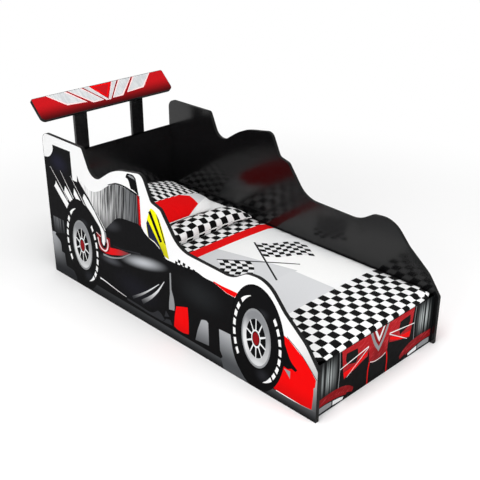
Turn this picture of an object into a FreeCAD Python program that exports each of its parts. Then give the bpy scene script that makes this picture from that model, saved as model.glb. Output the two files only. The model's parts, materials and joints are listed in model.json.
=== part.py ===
"""Racing-car bed for a small child, in millimetres.

+X runs to the nose, +Y to the sleeper's left when lying on the back, +Z up. The origin is on the
floor, halfway along the whole bed and its wing. Most places are counted from the tail plane, which
holds the rear edges of the two side panels.
"""
import FreeCAD, Part
import math
import os
import Sketcher

V = FreeCAD.Vector
Z_AXIS = V(0, 0, 1)
RIGHT, LEFT = -1, 1
SIDES = {"right": RIGHT, "left": LEFT}

doc = FreeCAD.newDocument("CarBed")
sheet = doc.addObject("Spreadsheet::Sheet", "Sizes")


# ---------------------------------------------------------------- sizes

class Size:
    """A length or an angle: its number, and the cell expression that gives it."""

    def __init__(self, value, text):
        self.value = value
        self.text = text

    def __add__(self, other):
        return combined(self, "+", other, lambda a, b: a + b)

    def __sub__(self, other):
        return combined(self, "-", other, lambda a, b: a - b)

    def __mul__(self, other):
        return combined(self, "*", other, lambda a, b: a * b)

    def __truediv__(self, other):
        return combined(self, "/", other, lambda a, b: a / b)

    def __neg__(self):
        return Size(-self.value, f"(-{self.text})")


def as_size(number):
    return number if isinstance(number, Size) else Size(float(number), str(number))


def combined(left, sign, right, work):
    right = as_size(right)
    return Size(work(left.value, right.value), f"({left.text} {sign} {right.text})")


def cosine(angle):
    return Size(math.cos(math.radians(angle.value)), f"cos({angle.text} * 1 deg)")


def sine(angle):
    return Size(math.sin(math.radians(angle.value)), f"sin({angle.text} * 1 deg)")


def cell(alias, value, note):
    """Write one driving size into the sheet and return it."""
    cell.row += 1
    sheet.set(f"A{cell.row}", note)
    sheet.set(f"B{cell.row}", str(value))
    sheet.setAlias(f"B{cell.row}", alias)
    return Size(float(value), f"Sizes.{alias}")


cell.row = 0
ZERO = Size(0.0, "0")

bed_length = cell("bed_length", 1600, "side panel, tail to nose")
bed_width = cell("bed_width", 732, "over both side panels")
board = cell("board", 15, "thickness of every printed board")
headboard_height = cell("headboard_height", 546, "headboard above the floor")
front_height = cell("front_height", 218, "front panel above the floor")
front_recess = cell("front_recess", 17.5, "front panel behind the noses of the side panels")

post_width = cell("post_width", 66, "wing post across the bed")
post_spacing = cell("post_spacing", 318, "between the middles of the two wing posts")
post_overlap = cell("post_overlap", 260, "wing post below the top of the headboard")
wing_width = cell("wing_width", 730, "wing across the bed")
wing_chord = cell("wing_chord", 114, "wing from its lower to its upper edge")
wing_lean = cell("wing_lean", 46.4, "wing, degrees back from upright")
wing_gap = cell("wing_gap", 51, "lower front edge of the wing above the side panels")
wing_lead = cell("wing_lead", 19, "lower front edge of the wing ahead of the tail plane")
wing_low_round = cell("wing_low_round", 22, "lower corners of the wing")
wing_high_round = cell("wing_high_round", 8, "upper corners of the wing")
bracket_plate = cell("bracket_plate", 2, "steel of the wing brackets")
bracket_leg = cell("bracket_leg", 42, "length of each leg of a wing bracket")
bracket_width = cell("bracket_width", 50, "wing bracket across the bed")

rail_depth = cell("rail_depth", 25, "side rail, out from the side panel")
rail_height = cell("rail_height", 40, "side rail, bottom to top")
rail_top = cell("rail_top", 86, "top of the side rails above the floor")
slat_width = cell("slat_width", 70, "slat along the bed")
slat_thickness = cell("slat_thickness", 12, "slat, bottom to top")
slat_margin = cell("slat_margin", 20, "first and last slat from the end boards")
wood_gap = cell("wood_gap", 1, "wooden part to the board beside it")

mattress_thickness = cell("mattress_thickness", 120, "mattress, bottom to top")
mattress_side_gap = cell("mattress_side_gap", 3, "mattress to each side panel")
mattress_tail_gap = cell("mattress_tail_gap", 26, "mattress to the headboard")
mattress_nose_gap = cell("mattress_nose_gap", 26.5, "mattress to the front panel")
mattress_nose_round = cell("mattress_nose_round", 40, "upper front edge of the mattress")
mattress_round = cell("mattress_round", 16, "the other edges of the mattress")
soft_gap = cell("soft_gap", 0.3, "soft piece to what it lies on")
quilt_edge = cell("quilt_edge", 8, "quilt at its two long sides")
quilt_crown = cell("quilt_crown", 10, "rise of the quilt from its sides to its middle")
quilt_drop = cell("quilt_drop", 60, "straight part of the quilt over the front of the mattress")
quilt_head_gap = cell("quilt_head_gap", 6, "head end of the quilt inside the mattress")

head_pillow_depth = cell("head_pillow_depth", 420, "head pillow along the bed")
head_pillow_rise = cell("head_pillow_rise", 62, "head pillow above its seam")
head_pillow_sink = cell("head_pillow_sink", 30, "head pillow below its seam")
head_pillow_gap = cell("head_pillow_gap", 10, "head pillow to the headboard")
front_pillow_depth = cell("front_pillow_depth", 170, "front pillow along the bed")
front_pillow_rise = cell("front_pillow_rise", 42, "front pillow above its seam")
front_pillow_sink = cell("front_pillow_sink", 24, "front pillow below its seam")
pillow_side_gap = cell("pillow_side_gap", 21, "end of a pillow to the side panel")
pillow_spacing = cell("pillow_spacing", 4, "between the two pillows")
pillow_draw = cell("pillow_draw", 14, "how far the sides of a pillow pull in between its corners")
pillow_tip = cell("pillow_tip", 5, "rise and sink of a pillow at its two ends")

cam_diameter = cell("cam_diameter", 15, "cam drum")
cam_depth = cell("cam_depth", 12, "cam drum, length")
cam_inset = cell("cam_inset", 24, "middle of a cam drum from the end of its board")
slot_length = cell("slot_length", 11, "slot in the visible end of a cam drum")
slot_width = cell("slot_width", 1.6, "slot in the visible end of a cam drum")
slot_depth = cell("slot_depth", 2, "slot in the visible end of a cam drum")
bolt_diameter = cell("bolt_diameter", 6, "thread of a cam bolt")
bolt_neck = cell("bolt_neck", 5, "shank of a cam bolt between thread and head")
bolt_head = cell("bolt_head", 7, "head of a cam bolt")
bolt_head_length = cell("bolt_head_length", 4, "head of a cam bolt along its axis")
bolt_anchor = cell("bolt_anchor", 10, "cam bolt inside the side panel")
bolt_bore = cell("bolt_bore", 8.4, "bore for a cam bolt in the end of a board")
dowel_diameter = cell("dowel_diameter", 8, "wooden dowel")
dowel_length = cell("dowel_length", 30, "wooden dowel")
dowel_anchor = cell("dowel_anchor", 10, "dowel inside the side panel")
head_cam_low = cell("head_cam_low", 70, "lowest cam of the headboard above the floor")
head_cam_pitch = cell("head_cam_pitch", 190, "between the cams of the headboard")
front_cam_low = cell("front_cam_low", 55, "lowest cam of the front panel above the floor")
front_cam_pitch = cell("front_cam_pitch", 105, "between the cams of the front panel")

fit = cell("fit", 0.1, "clearance round a dowel, bolt, drum or screw")
blind = cell("blind", 0.5, "hole past the end of what it holds")
small_shank = cell("small_shank", 3.5, "shank of a short screw")
small_head = cell("small_head", 7, "head of a short screw")
small_head_height = cell("small_head_height", 2.2, "head of a short screw, height")
long_shank = cell("long_shank", 4, "shank of a long screw")
long_head = cell("long_head", 8, "head of a long screw")
long_head_height = cell("long_head_height", 2.6, "head of a long screw, height")
screw_bite = cell("screw_bite", 11, "screw inside the last board that it holds")
slat_screw_bite = cell("slat_screw_bite", 22, "slat screw inside the side rail")
bracket_screw_reach = cell("bracket_screw_reach", 26, "bracket screw from the bend")
bracket_screw_spacing = cell("bracket_screw_spacing", 26, "between two screws of a bracket leg")
post_screw_low = cell("post_screw_low", 40, "lowest screw of a post above its foot")
post_screw_pitch = cell("post_screw_pitch", 90, "between the screws of a post")
rail_screw_first = cell("rail_screw_first", 90, "first screw of a rail from its end")

tail_height = cell("tail_height", 675, "side panel above the floor at the tail")
tail_round = cell("tail_round", 40, "upper corner of a side panel at the tail")
roof_run = cell("roof_run", 295, "level upper edge of a side panel, tail to cabin corner")
cabin_round = cell("cabin_round", 16, "cabin corner of a side panel")
nose_height = cell("nose_height", 211, "side panel above the floor at the nose")
nose_round = cell("nose_round", 14, "upper corner of a side panel at the nose")


def corner_cells(name, run, rise, radius):
    """One corner of a side panel: its run and rise from the corner before it, and its radius."""
    return (
        cell(f"{name}_run", run, f"{name} corner, along the bed from the corner before it"),
        cell(f"{name}_rise", rise, f"{name} corner, above the corner before it"),
        cell(f"{name}_round", radius, f"radius of the {name} corner"),
    )


# From the cabin corner forward, down into the side opening.
CABIN = [
    corner_cells("dip", 63, -139, 57),
    corner_cells("crown", 156, 104, 295),
    corner_cells("headrest", 176, 29, 36),
    corner_cells("collar", 49, -102, 24),
    corner_cells("cowl", 56, -15, 28),
    corner_cells("sill", 101, -134, 129),
]
# From the nose back, over the front wheel.
BONNET = [
    corner_cells("lip", -59, 80, 145),
    corner_cells("wing_line", -101, 81, 74),
    corner_cells("arch_end", -84, 93, 117),
    corner_cells("arch", -96, -9, 58),
    corner_cells("arch_foot", -73, -46, 119),
]

HEAD_CAM_COUNT = 3
FRONT_CAM_COUNT = 2
POST_SCREW_COUNT = 2
RAIL_SCREW_COUNT = 5
SLAT_COUNT = 12
# Sections of a pillow from one end to the other, as shares of its half width. Each is fuller the
# nearer it is to the middle.
PILLOW_SECTIONS = (-1, -0.86, -0.5, 0, 0.5, 0.86, 1)
PILLOW_FULLNESS = 3


# ---------------------------------------------------------------- places

inner_half = bed_width / 2 - board
wing_height = tail_height + wing_gap
wing_back = wing_chord * sine(wing_lean) + board * cosine(wing_lean) - wing_lead
tail_x = (wing_back - bed_length) / 2
inner_length = bed_length - front_recess - board * 2
front_inner = bed_length - front_recess - board
slat_top = rail_top + slat_thickness
mattress_tail = board + mattress_tail_gap
mattress_length = inner_length - mattress_tail_gap - mattress_nose_gap
mattress_width = inner_half * 2 - mattress_side_gap * 2
pillow_width = inner_half * 2 - pillow_side_gap * 2
mattress_base = slat_top + soft_gap
mattress_top = mattress_base + mattress_thickness
quilt_top = mattress_top + soft_gap + quilt_edge + quilt_crown
post_foot = headboard_height - post_overlap
# Height of the wing's underside at the rear face of the posts, and how far along the wing that is.
bend_height = wing_height + ((wing_lead + board) * cosine(wing_lean) - board) / sine(wing_lean)
bend_along = (wing_lead + board - board * cosine(wing_lean)) / sine(wing_lean)


# ---------------------------------------------------------------- tools

def bind(thing, name, size):
    thing.setExpression(name, size.text)


def move(thing, x=ZERO, y=ZERO, z=ZERO, turn=None):
    """Place a sub-part. x is counted from the tail plane."""
    rotation = FreeCAD.Rotation() if turn is None else turn
    thing.Placement = FreeCAD.Placement(V(0, 0, 0), rotation)
    bind(thing, "Placement.Base.x", tail_x + x)
    bind(thing, "Placement.Base.y", y)
    bind(thing, "Placement.Base.z", z)


def new_body(label):
    body = doc.addObject("PartDesign::Body", label)
    body.Label = label
    return body


def new_sketch(body, role, name, offset=None):
    """A sketch on one of the body's own origin planes, moved along its normal by offset."""
    plane = next(f for f in body.Origin.OriginFeatures if f.Role == role)
    sketch = body.newObject("Sketcher::SketchObject", name)
    sketch.AttachmentSupport = (plane, [""])
    sketch.MapMode = "FlatFace"
    if offset is not None:
        sketch.setExpression("AttachmentOffset.Base.z", offset.text)
    return sketch


def fix(sketch, geometry, point, x, y):
    """Hold a point of a sketch at x, y from the sketch's origin."""
    for kind, size in (("DistanceX", x), ("DistanceY", y)):
        index = sketch.addConstraint(Sketcher.Constraint(kind, -1, 1, geometry, point, size.value))
        sketch.setExpression(f"Constraints[{index}]", size.text)


def rounding(here, back, ahead, radius):
    """The arc that rounds the corner at here, its ends on the runs back and ahead, and which of the
    arc's own points, counted anticlockwise as 1 and 2, lies on the run back."""
    half = back.getAngle(ahead) / 2
    reach = radius / math.tan(half)
    middle = here + (back + ahead).normalize() * (radius / math.sin(half))
    enter, leave = here + back * reach, here + ahead * reach
    point = 1 if (enter - middle).cross(leave - middle).z > 0 else 2
    first, last = (enter, leave) if point == 1 else (leave, enter)
    low, high = (math.atan2(end.y - middle.y, end.x - middle.x) for end in (first, last))
    if high < low:
        high += 2 * math.pi
    arc = Part.ArcOfCircle(Part.Circle(middle, Z_AXIS, radius), low, high)
    return arc, enter, leave, point


def outline(sketch, corners):
    """A closed outline of straight runs. Each corner is x, y and the radius of its arc, or None."""
    count = len(corners)
    places = [V(x.value, y.value, 0) for x, y, _ in corners]
    rounds = []
    for i, here in enumerate(places):
        radius = corners[i][2]
        back = (places[i - 1] - here).normalize()
        ahead = (places[(i + 1) % count] - here).normalize()
        rounds.append((None, here, here, 1) if radius is None else rounding(here, back, ahead, radius.value))
    points = [sketch.addGeometry(Part.Point(place), True) for place in places]
    lines = [
        sketch.addGeometry(Part.LineSegment(rounds[i][2], rounds[(i + 1) % count][1]))
        for i in range(count)
    ]
    for i, (x, y, radius) in enumerate(corners):
        fix(sketch, points[i], 1, x, y)
        line_in, line_out = lines[i - 1], lines[i]
        if radius is None:
            sketch.addConstraint(Sketcher.Constraint("Coincident", line_in, 2, points[i], 1))
            sketch.addConstraint(Sketcher.Constraint("Coincident", line_out, 1, points[i], 1))
            continue
        curve, _, _, point = rounds[i]
        arc = sketch.addGeometry(curve)
        sketch.addConstraint(Sketcher.Constraint("PointOnObject", points[i], 1, line_in))
        sketch.addConstraint(Sketcher.Constraint("PointOnObject", points[i], 1, line_out))
        sketch.addConstraint(Sketcher.Constraint("Tangent", line_in, 2, arc, point))
        sketch.addConstraint(Sketcher.Constraint("Tangent", line_out, 1, arc, 3 - point))
        index = sketch.addConstraint(Sketcher.Constraint("Radius", arc, radius.value))
        sketch.setExpression(f"Constraints[{index}]", radius.text)


def rectangle(sketch, x0, y0, x1, y1):
    outline(sketch, [(x0, y0, None), (x1, y0, None), (x1, y1, None), (x0, y1, None)])


def circles(sketch, diameter, places):
    for x, y in places:
        circle = sketch.addGeometry(Part.Circle(V(x.value, y.value, 0), Z_AXIS, diameter.value / 2))
        fix(sketch, circle, 3, x, y)
        index = sketch.addConstraint(Sketcher.Constraint("Diameter", circle, diameter.value))
        sketch.setExpression(f"Constraints[{index}]", diameter.text)


def pad(body, sketch, length, backwards=False):
    feature = body.newObject("PartDesign::Pad", f"{sketch.Name}_pad")
    feature.Profile = sketch
    feature.Reversed = backwards
    bind(feature, "Length", length)
    return feature


def drill(body, sketch, diameter, depth, places, backwards=False):
    """Round holes of one depth, from the plane of an empty sketch. They must take something off."""
    doc.recompute()
    before = body.Shape.Volume
    circles(sketch, diameter, places)
    pocket = body.newObject("PartDesign::Pocket", f"{sketch.Name}_cut")
    pocket.Profile = sketch
    pocket.Reversed = backwards
    bind(pocket, "Length", depth)
    doc.recompute()
    if body.Shape.Volume >= before:
        raise RuntimeError(f"{sketch.Name} cuts nothing")


def turned(label, profile):
    """A turned piece along +Z: profile holds the radius and the height of each corner."""
    body = new_body(label)
    sketch = new_sketch(body, "XZ_Plane", f"{label}_profile")
    outline(sketch, [(radius, height, None) for radius, height in profile])
    feature = body.newObject("PartDesign::Revolution", f"{label}_turn")
    feature.Profile = sketch
    feature.ReferenceAxis = (sketch, ["V_Axis"])
    doc.recompute()
    return body


def screw(label, shank, head, head_height, length):
    """A screw whose head sits on the plane z = 0 and whose shank points down."""
    return turned(label, [
        (ZERO, -length), (shank / 2, -length), (shank / 2, ZERO),
        (head / 2, ZERO), (head / 2, head_height), (ZERO, head_height),
    ])


def placed_feature(label, shape):
    """A node with a ready shape, whose own x is counted from the tail plane."""
    feature = doc.addObject("Part::Feature", label)
    feature.Label = label
    feature.Shape = shape
    move(feature)


def group(label, piece, placements):
    """Copies of one piece, as a node of separate solids."""
    solids = []
    for placement in placements:
        copy = piece.Shape.copy()
        copy.Placement = placement
        solids.append(copy)
    placed_feature(label, Part.makeCompound(solids))


def at(x, y, z, direction):
    """A placement that turns +Z to the given direction."""
    return FreeCAD.Placement(V(x.value, y.value, z.value), FreeCAD.Rotation(Z_AXIS, direction))


# ---------------------------------------------------------------- shared places

def steps(first, pitch, count):
    return [first + pitch * i for i in range(count)]


def cams_and_dowels(low, pitch, cam_count):
    """Heights of the cams in the end of a board, and of the dowels halfway between them."""
    return steps(low, pitch, cam_count), steps(low + pitch / 2, pitch, cam_count - 1)


# Each end board: its rear face, its height, and the heights of its cams and dowels.
END_BOARDS = {
    "headboard": (ZERO, headboard_height, *cams_and_dowels(head_cam_low, head_cam_pitch, HEAD_CAM_COUNT)),
    "front_panel": (front_inner, front_height,
                    *cams_and_dowels(front_cam_low, front_cam_pitch, FRONT_CAM_COUNT)),
}
POST_SCREWS = steps(post_foot + post_screw_low, post_screw_pitch, POST_SCREW_COUNT)
BRACKET_SPREAD = (-bracket_screw_spacing / 2, bracket_screw_spacing / 2)

rail_length = inner_length - wood_gap * 2
rail_start = board + wood_gap
rail_middle = rail_top - rail_height / 2
rail_screw_pitch = (rail_length - rail_screw_first * 2) / (RAIL_SCREW_COUNT - 1)
RAIL_SCREWS = steps(rail_screw_first, rail_screw_pitch, RAIL_SCREW_COUNT)

slat_pitch = (inner_length - slat_margin * 2 - slat_width) / (SLAT_COUNT - 1)
SLAT_MIDDLES = steps(board + slat_margin + slat_width / 2, slat_pitch, SLAT_COUNT)
slat_half = inner_half - wood_gap
slat_screw_y = inner_half - rail_depth / 2
slat_screw_seat = slat_top - small_head_height - blind


# ---------------------------------------------------------------- boards

def side_outline():
    """Corners of a side panel, from the tail plane and the floor."""
    cabin = [(roof_run, tail_height, cabin_round)]
    bonnet = [(bed_length, nose_height, nose_round)]
    for corners, rows in ((cabin, CABIN), (bonnet, BONNET)):
        for run, rise, radius in rows:
            x, height, _ = corners[-1]
            corners.append((x + run, height + rise, radius))
    tail = [(ZERO, ZERO, None), (ZERO, tail_height, tail_round)]
    return tail + cabin + bonnet[::-1] + [(bed_length, ZERO, None)]


def side_panel(name, side):
    """A side panel: its inner face is the plane y = 0 of the body, and it grows outwards."""
    body = new_body(f"side_panel_{name}")
    sketch = new_sketch(body, "XZ_Plane", f"{name}_outline")
    outline(sketch, side_outline())
    pad(body, sketch, board, backwards=side == LEFT)
    bolts, dowels = [], []
    for rear_face, _, cams, pins in END_BOARDS.values():
        bolts += [(rear_face + board / 2, z) for z in cams]
        dowels += [(rear_face + board / 2, z) for z in pins]
    for kind, diameter, depth, places in (
        ("bolt_holes", bolt_diameter, bolt_anchor, bolts),
        ("dowel_holes", dowel_diameter, dowel_anchor, dowels),
        ("rail_pilots", long_shank, screw_bite, [(rail_start + x, rail_middle) for x in RAIL_SCREWS]),
    ):
        inner_face = new_sketch(body, "XZ_Plane", f"{name}_{kind}")
        drill(body, inner_face, diameter + fit * 2, depth + blind, places, backwards=side == RIGHT)
    move(body, y=inner_half * side)


def end_board(label):
    """A board between the side panels, with its cam drums let into its rear face."""
    rear_face, height, cams, pins = END_BOARDS[label]
    body = new_body(label)
    sketch = new_sketch(body, "YZ_Plane", f"{label}_outline")
    rectangle(sketch, -inner_half, ZERO, inner_half, height)
    pad(body, sketch, board)
    drums = [((inner_half - cam_inset) * side, z) for side in (RIGHT, LEFT) for z in cams]
    drill(body, new_sketch(body, "YZ_Plane", f"{label}_drums"), cam_diameter + fit * 2, cam_depth + fit,
          drums, backwards=True)
    for side_name, side in SIDES.items():
        for kind, diameter, depth, heights in (
            ("bores", bolt_bore, cam_inset, cams),
            ("dowels", dowel_diameter + fit * 2, dowel_length - dowel_anchor + blind, pins),
        ):
            end_face = new_sketch(body, "XZ_Plane", f"{label}_{side_name}_{kind}", -inner_half * side)
            drill(body, end_face, diameter, depth, [(board / 2, z) for z in heights], side == LEFT)
    move(body, x=rear_face)
    return body


def headboard():
    """The headboard, with pilot holes for the screws that come through the wing posts."""
    body = end_board("headboard")
    pilots = [(post_spacing / 2 * side, z) for side in (RIGHT, LEFT) for z in POST_SCREWS]
    drill(body, new_sketch(body, "YZ_Plane", "headboard_pilots"), long_shank + fit * 2,
          screw_bite + blind, pilots, backwards=True)


# ---------------------------------------------------------------- wing

def wing_post(name, side):
    """A post on the rear of the headboard. Its top is cut to the underside of the wing."""
    body = new_body(f"wing_post_{name}")
    sketch = new_sketch(body, "XZ_Plane", f"{name}_post_outline", -post_width / 2)
    front_top = wing_height + (wing_lead * cosine(wing_lean) - board) / sine(wing_lean)
    outline(sketch, [
        (-board, post_foot, None), (ZERO, post_foot, None),
        (ZERO, front_top, None), (-board, bend_height, None),
    ])
    pad(body, sketch, post_width)
    drill(body, new_sketch(body, "YZ_Plane", f"{name}_post_holes"), long_shank + fit * 2, board,
          [(ZERO, z) for z in POST_SCREWS])
    drill(body, new_sketch(body, "YZ_Plane", f"{name}_post_pilots", -board), small_shank + fit * 2,
          screw_bite + blind, [(y, bend_height - bracket_screw_reach) for y in BRACKET_SPREAD],
          backwards=True)
    move(body, y=post_spacing / 2 * side)


def wing_board():
    """The wing, built upright with its front face at x = 0 and then leaned back."""
    body = new_body("wing_board")
    sketch = new_sketch(body, "YZ_Plane", "wing_outline", -board)
    half = wing_width / 2
    outline(sketch, [
        (-half, ZERO, wing_low_round), (half, ZERO, wing_low_round),
        (half, wing_chord, wing_high_round), (-half, wing_chord, wing_high_round),
    ])
    pad(body, sketch, board)
    pilots = [
        (post_spacing / 2 * side + y, bend_along + bracket_screw_reach)
        for side in (RIGHT, LEFT) for y in BRACKET_SPREAD
    ]
    drill(body, new_sketch(body, "YZ_Plane", "wing_pilots", -board), small_shank + fit * 2,
          screw_bite + blind, pilots, backwards=True)
    move(body, x=wing_lead, z=wing_height, turn=FreeCAD.Rotation(V(0, -1, 0), wing_lean.value))
    bind(body, "Placement.Rotation.Angle", wing_lean)


def under_wing(along, away=ZERO):
    """x and z of a point behind the posts: along the wing from the bend of the bracket, and away
    from the wing's underside."""
    x = -board - sine(wing_lean) * along - cosine(wing_lean) * away
    z = bend_height + cosine(wing_lean) * along - sine(wing_lean) * away
    return x, z


def wing_bracket(name, side):
    """A bent plate in the corner between the rear of a post and the underside of the wing."""
    body = new_body(f"wing_bracket_{name}")
    sketch = new_sketch(body, "XZ_Plane", f"{name}_bracket_outline", -bracket_width / 2)
    outer_bend = bend_height + (bracket_plate * cosine(wing_lean) - bracket_plate) / sine(wing_lean)
    foot = bend_height - bracket_leg
    outline(sketch, [
        (-board, foot, None), (-board, bend_height, None),
        (*under_wing(bracket_leg), None), (*under_wing(bracket_leg, bracket_plate), None),
        (-board - bracket_plate, outer_bend, None), (-board - bracket_plate, foot, None),
    ])
    pad(body, sketch, bracket_width)
    upright = new_sketch(body, "YZ_Plane", f"{name}_bracket_low", -board - bracket_plate)
    drill(body, upright, small_shank + fit * 2, bracket_plate * 2,
          [(y, bend_height - bracket_screw_reach) for y in BRACKET_SPREAD], backwards=True)
    # The holes of the upper leg lie square to the wing.
    leaned = new_sketch(body, "XY_Plane", f"{name}_bracket_high")
    turn = as_size(90) - wing_lean
    leaned.AttachmentOffset = FreeCAD.Placement(V(0, 0, 0), FreeCAD.Rotation(V(0, 1, 0), turn.value))
    hole_x, hole_z = under_wing(bracket_screw_reach)
    bind(leaned, "AttachmentOffset.Base.x", hole_x)
    bind(leaned, "AttachmentOffset.Base.z", hole_z)
    bind(leaned, "AttachmentOffset.Rotation.Angle", turn)
    drill(body, leaned, small_shank + fit * 2, bracket_plate * 2, [(ZERO, y) for y in BRACKET_SPREAD])
    move(body, y=post_spacing / 2 * side)


# ---------------------------------------------------------------- base

def side_rail(name, side):
    """A batten along a side panel. Its outer face is the plane y = 0 of the body."""
    body = new_body(f"side_rail_{name}")
    sketch = new_sketch(body, "YZ_Plane", f"{name}_rail_outline")
    inside = -rail_depth * side
    low, high = (inside, ZERO) if side == LEFT else (ZERO, inside)
    rectangle(sketch, low, rail_top - rail_height, high, rail_top)
    pad(body, sketch, rail_length)
    drill(body, new_sketch(body, "XY_Plane", f"{name}_rail_pilots", rail_top), small_shank + fit * 2,
          slat_screw_bite + blind, [(x - rail_start, -rail_depth / 2 * side) for x in SLAT_MIDDLES])
    drill(body, new_sketch(body, "XZ_Plane", f"{name}_rail_holes"), long_shank + fit * 2, rail_depth,
          [(x, rail_middle) for x in RAIL_SCREWS], backwards=side == LEFT)
    move(body, x=rail_start, y=inner_half * side)


def slat(number, middle):
    """A slat. The top is the plane z = 0 of the body, and the screw heads are let in there."""
    label = f"slat_{number:02d}"
    body = new_body(label)
    sketch = new_sketch(body, "XY_Plane", f"{label}_outline")
    rectangle(sketch, -slat_width / 2, -slat_half, slat_width / 2, slat_half)
    ends = [(ZERO, slat_screw_y * side) for side in (RIGHT, LEFT)]
    circles(sketch, small_shank + fit * 2, ends)
    pad(body, sketch, slat_thickness, backwards=True)
    drill(body, new_sketch(body, "XY_Plane", f"{label}_recesses"), small_head + fit * 2,
          small_head_height + blind, ends)
    move(body, x=middle, z=slat_top)


# ---------------------------------------------------------------- fittings

def cam_bolt():
    """A bolt along +Z: the thread is below z = 0 and the head is in the middle of the drum."""
    neck_end = cam_inset - bolt_head_length / 2
    head_end = cam_inset + bolt_head_length / 2
    return turned("cam_bolt_pattern", [
        (ZERO, -bolt_anchor), (bolt_diameter / 2, -bolt_anchor), (bolt_diameter / 2, ZERO),
        (bolt_neck / 2, ZERO), (bolt_neck / 2, neck_end), (bolt_head / 2, neck_end),
        (bolt_head / 2, head_end), (ZERO, head_end),
    ])


def cam_drum():
    """A drum down from its visible end at z = 0. A bore from +Y takes the head of the bolt."""
    body = new_body("cam_drum_pattern")
    sketch = new_sketch(body, "XY_Plane", "drum_outline")
    circles(sketch, cam_diameter, [(ZERO, ZERO)])
    pad(body, sketch, cam_depth, backwards=True)
    slot = new_sketch(body, "XY_Plane", "drum_slot")
    rectangle(slot, -slot_length / 2, -slot_width / 2, slot_length / 2, slot_width / 2)
    pocket = body.newObject("PartDesign::Pocket", "drum_slot_cut")
    pocket.Profile = slot
    bind(pocket, "Length", slot_depth)
    drill(body, new_sketch(body, "XZ_Plane", "drum_bore", bolt_head_length), bolt_bore,
          cam_diameter / 2 + bolt_head_length, [(ZERO, -board / 2)])
    return body


def dowel():
    """A pin along +Z, with the part that goes into the side panel below z = 0."""
    return turned("dowel_pattern", [
        (ZERO, -dowel_anchor), (dowel_diameter / 2, -dowel_anchor),
        (dowel_diameter / 2, dowel_length - dowel_anchor), (ZERO, dowel_length - dowel_anchor),
    ])


def fittings():
    """Everything that holds the end boards to the side panels, one node for each kind."""
    bolts, dowels, drums = [], [], []
    for rear_face, _, cams, pins in END_BOARDS.values():
        for side in (RIGHT, LEFT):
            x, y, inwards = rear_face + board / 2, inner_half * side, V(0, -side, 0)
            bolts += [at(x, y, z, inwards) for z in cams]
            dowels += [at(x, y, z, inwards) for z in pins]
            bore_outwards = FreeCAD.Rotation(V(0, 0, side), V(0, side, 0), V(-1, 0, 0), "ZYX")
            drums += [
                FreeCAD.Placement(V(rear_face.value, (y - cam_inset * side).value, z.value), bore_outwards)
                for z in cams
            ]
    group("cam_bolts", cam_bolt(), bolts)
    group("cam_drums", cam_drum(), drums)
    group("dowels", dowel(), dowels)


def screws():
    """The screws, one node for each place where they are used."""
    backwards = V(-1, 0, 0)
    post_screw = screw("post_screw_pattern", long_shank, long_head, long_head_height, board + screw_bite)
    group("post_screws", post_screw, [
        at(-board, post_spacing / 2 * side, z, backwards) for side in (RIGHT, LEFT) for z in POST_SCREWS
    ])
    rail_screw = screw("rail_screw_pattern", long_shank, long_head, long_head_height,
                       rail_depth + screw_bite)
    group("rail_screws", rail_screw, [
        at(rail_start + x, (inner_half - rail_depth) * side, rail_middle, V(0, -side, 0))
        for side in (RIGHT, LEFT) for x in RAIL_SCREWS
    ])
    slat_screw = screw("slat_screw_pattern", small_shank, small_head, small_head_height,
                       slat_screw_seat - rail_top + slat_screw_bite)
    group("slat_screws", slat_screw, [
        at(x, slat_screw_y * side, slat_screw_seat, Z_AXIS)
        for side in (RIGHT, LEFT) for x in SLAT_MIDDLES
    ])
    bracket_screw = screw("bracket_screw_pattern", small_shank, small_head, small_head_height,
                          bracket_plate + screw_bite)
    lean = math.radians(wing_lean.value)
    off_wing = V(-math.cos(lean), 0, -math.sin(lean))
    high_x, high_z = under_wing(bracket_screw_reach, bracket_plate)
    places = []
    for side in (RIGHT, LEFT):
        for spread in BRACKET_SPREAD:
            y = post_spacing / 2 * side + spread
            places.append(at(-board - bracket_plate, y, bend_height - bracket_screw_reach, backwards))
            places.append(at(high_x, y, high_z, off_wing))
    group("bracket_screws", bracket_screw, places)


# ---------------------------------------------------------------- bedding

def mattress():
    body = new_body("mattress")
    sketch = new_sketch(body, "XZ_Plane", "mattress_side", -mattress_width / 2)
    outline(sketch, [
        (ZERO, ZERO, mattress_round), (mattress_length, ZERO, mattress_round),
        (mattress_length, mattress_thickness, mattress_nose_round),
        (ZERO, mattress_thickness, mattress_round),
    ])
    pad(body, sketch, mattress_width)
    move(body, x=mattress_tail, z=mattress_base)


def quilt():
    """A crowned blanket along the top of the mattress that bends down over its front end."""
    half = mattress_width.value / 2
    base = mattress_top.value + soft_gap.value
    radius = mattress_nose_round.value + soft_gap.value
    start = V(mattress_tail.value + quilt_head_gap.value, 0, base)
    bend = V((mattress_tail + mattress_length - mattress_nose_round).value, 0, base)
    eighth = V(math.sin(math.pi / 4), 0, math.cos(math.pi / 4) - 1) * radius
    down = bend + V(radius, 0, -radius)
    path = Part.Wire([
        Part.LineSegment(start, bend).toShape(),
        Part.Arc(bend, bend + eighth, down).toShape(),
        Part.LineSegment(down, down - V(0, 0, quilt_drop.value)).toShape(),
    ])
    low = [start + V(0, y, 0) for y in (-half, half)]
    high = [place + V(0, 0, quilt_edge.value) for place in low]
    crown = start + V(0, 0, quilt_edge.value + quilt_crown.value)
    section = Part.Wire([
        Part.LineSegment(low[0], low[1]).toShape(),
        Part.LineSegment(low[1], high[1]).toShape(),
        Part.Arc(high[1], crown, high[0]).toShape(),
        Part.LineSegment(high[0], low[0]).toShape(),
    ])
    shell = Part.BRepOffsetAPI.MakePipeShell(path)
    shell.add(section)
    shell.build()
    shell.makeSolid()
    placed_feature("quilt", shell.shape())


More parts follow.
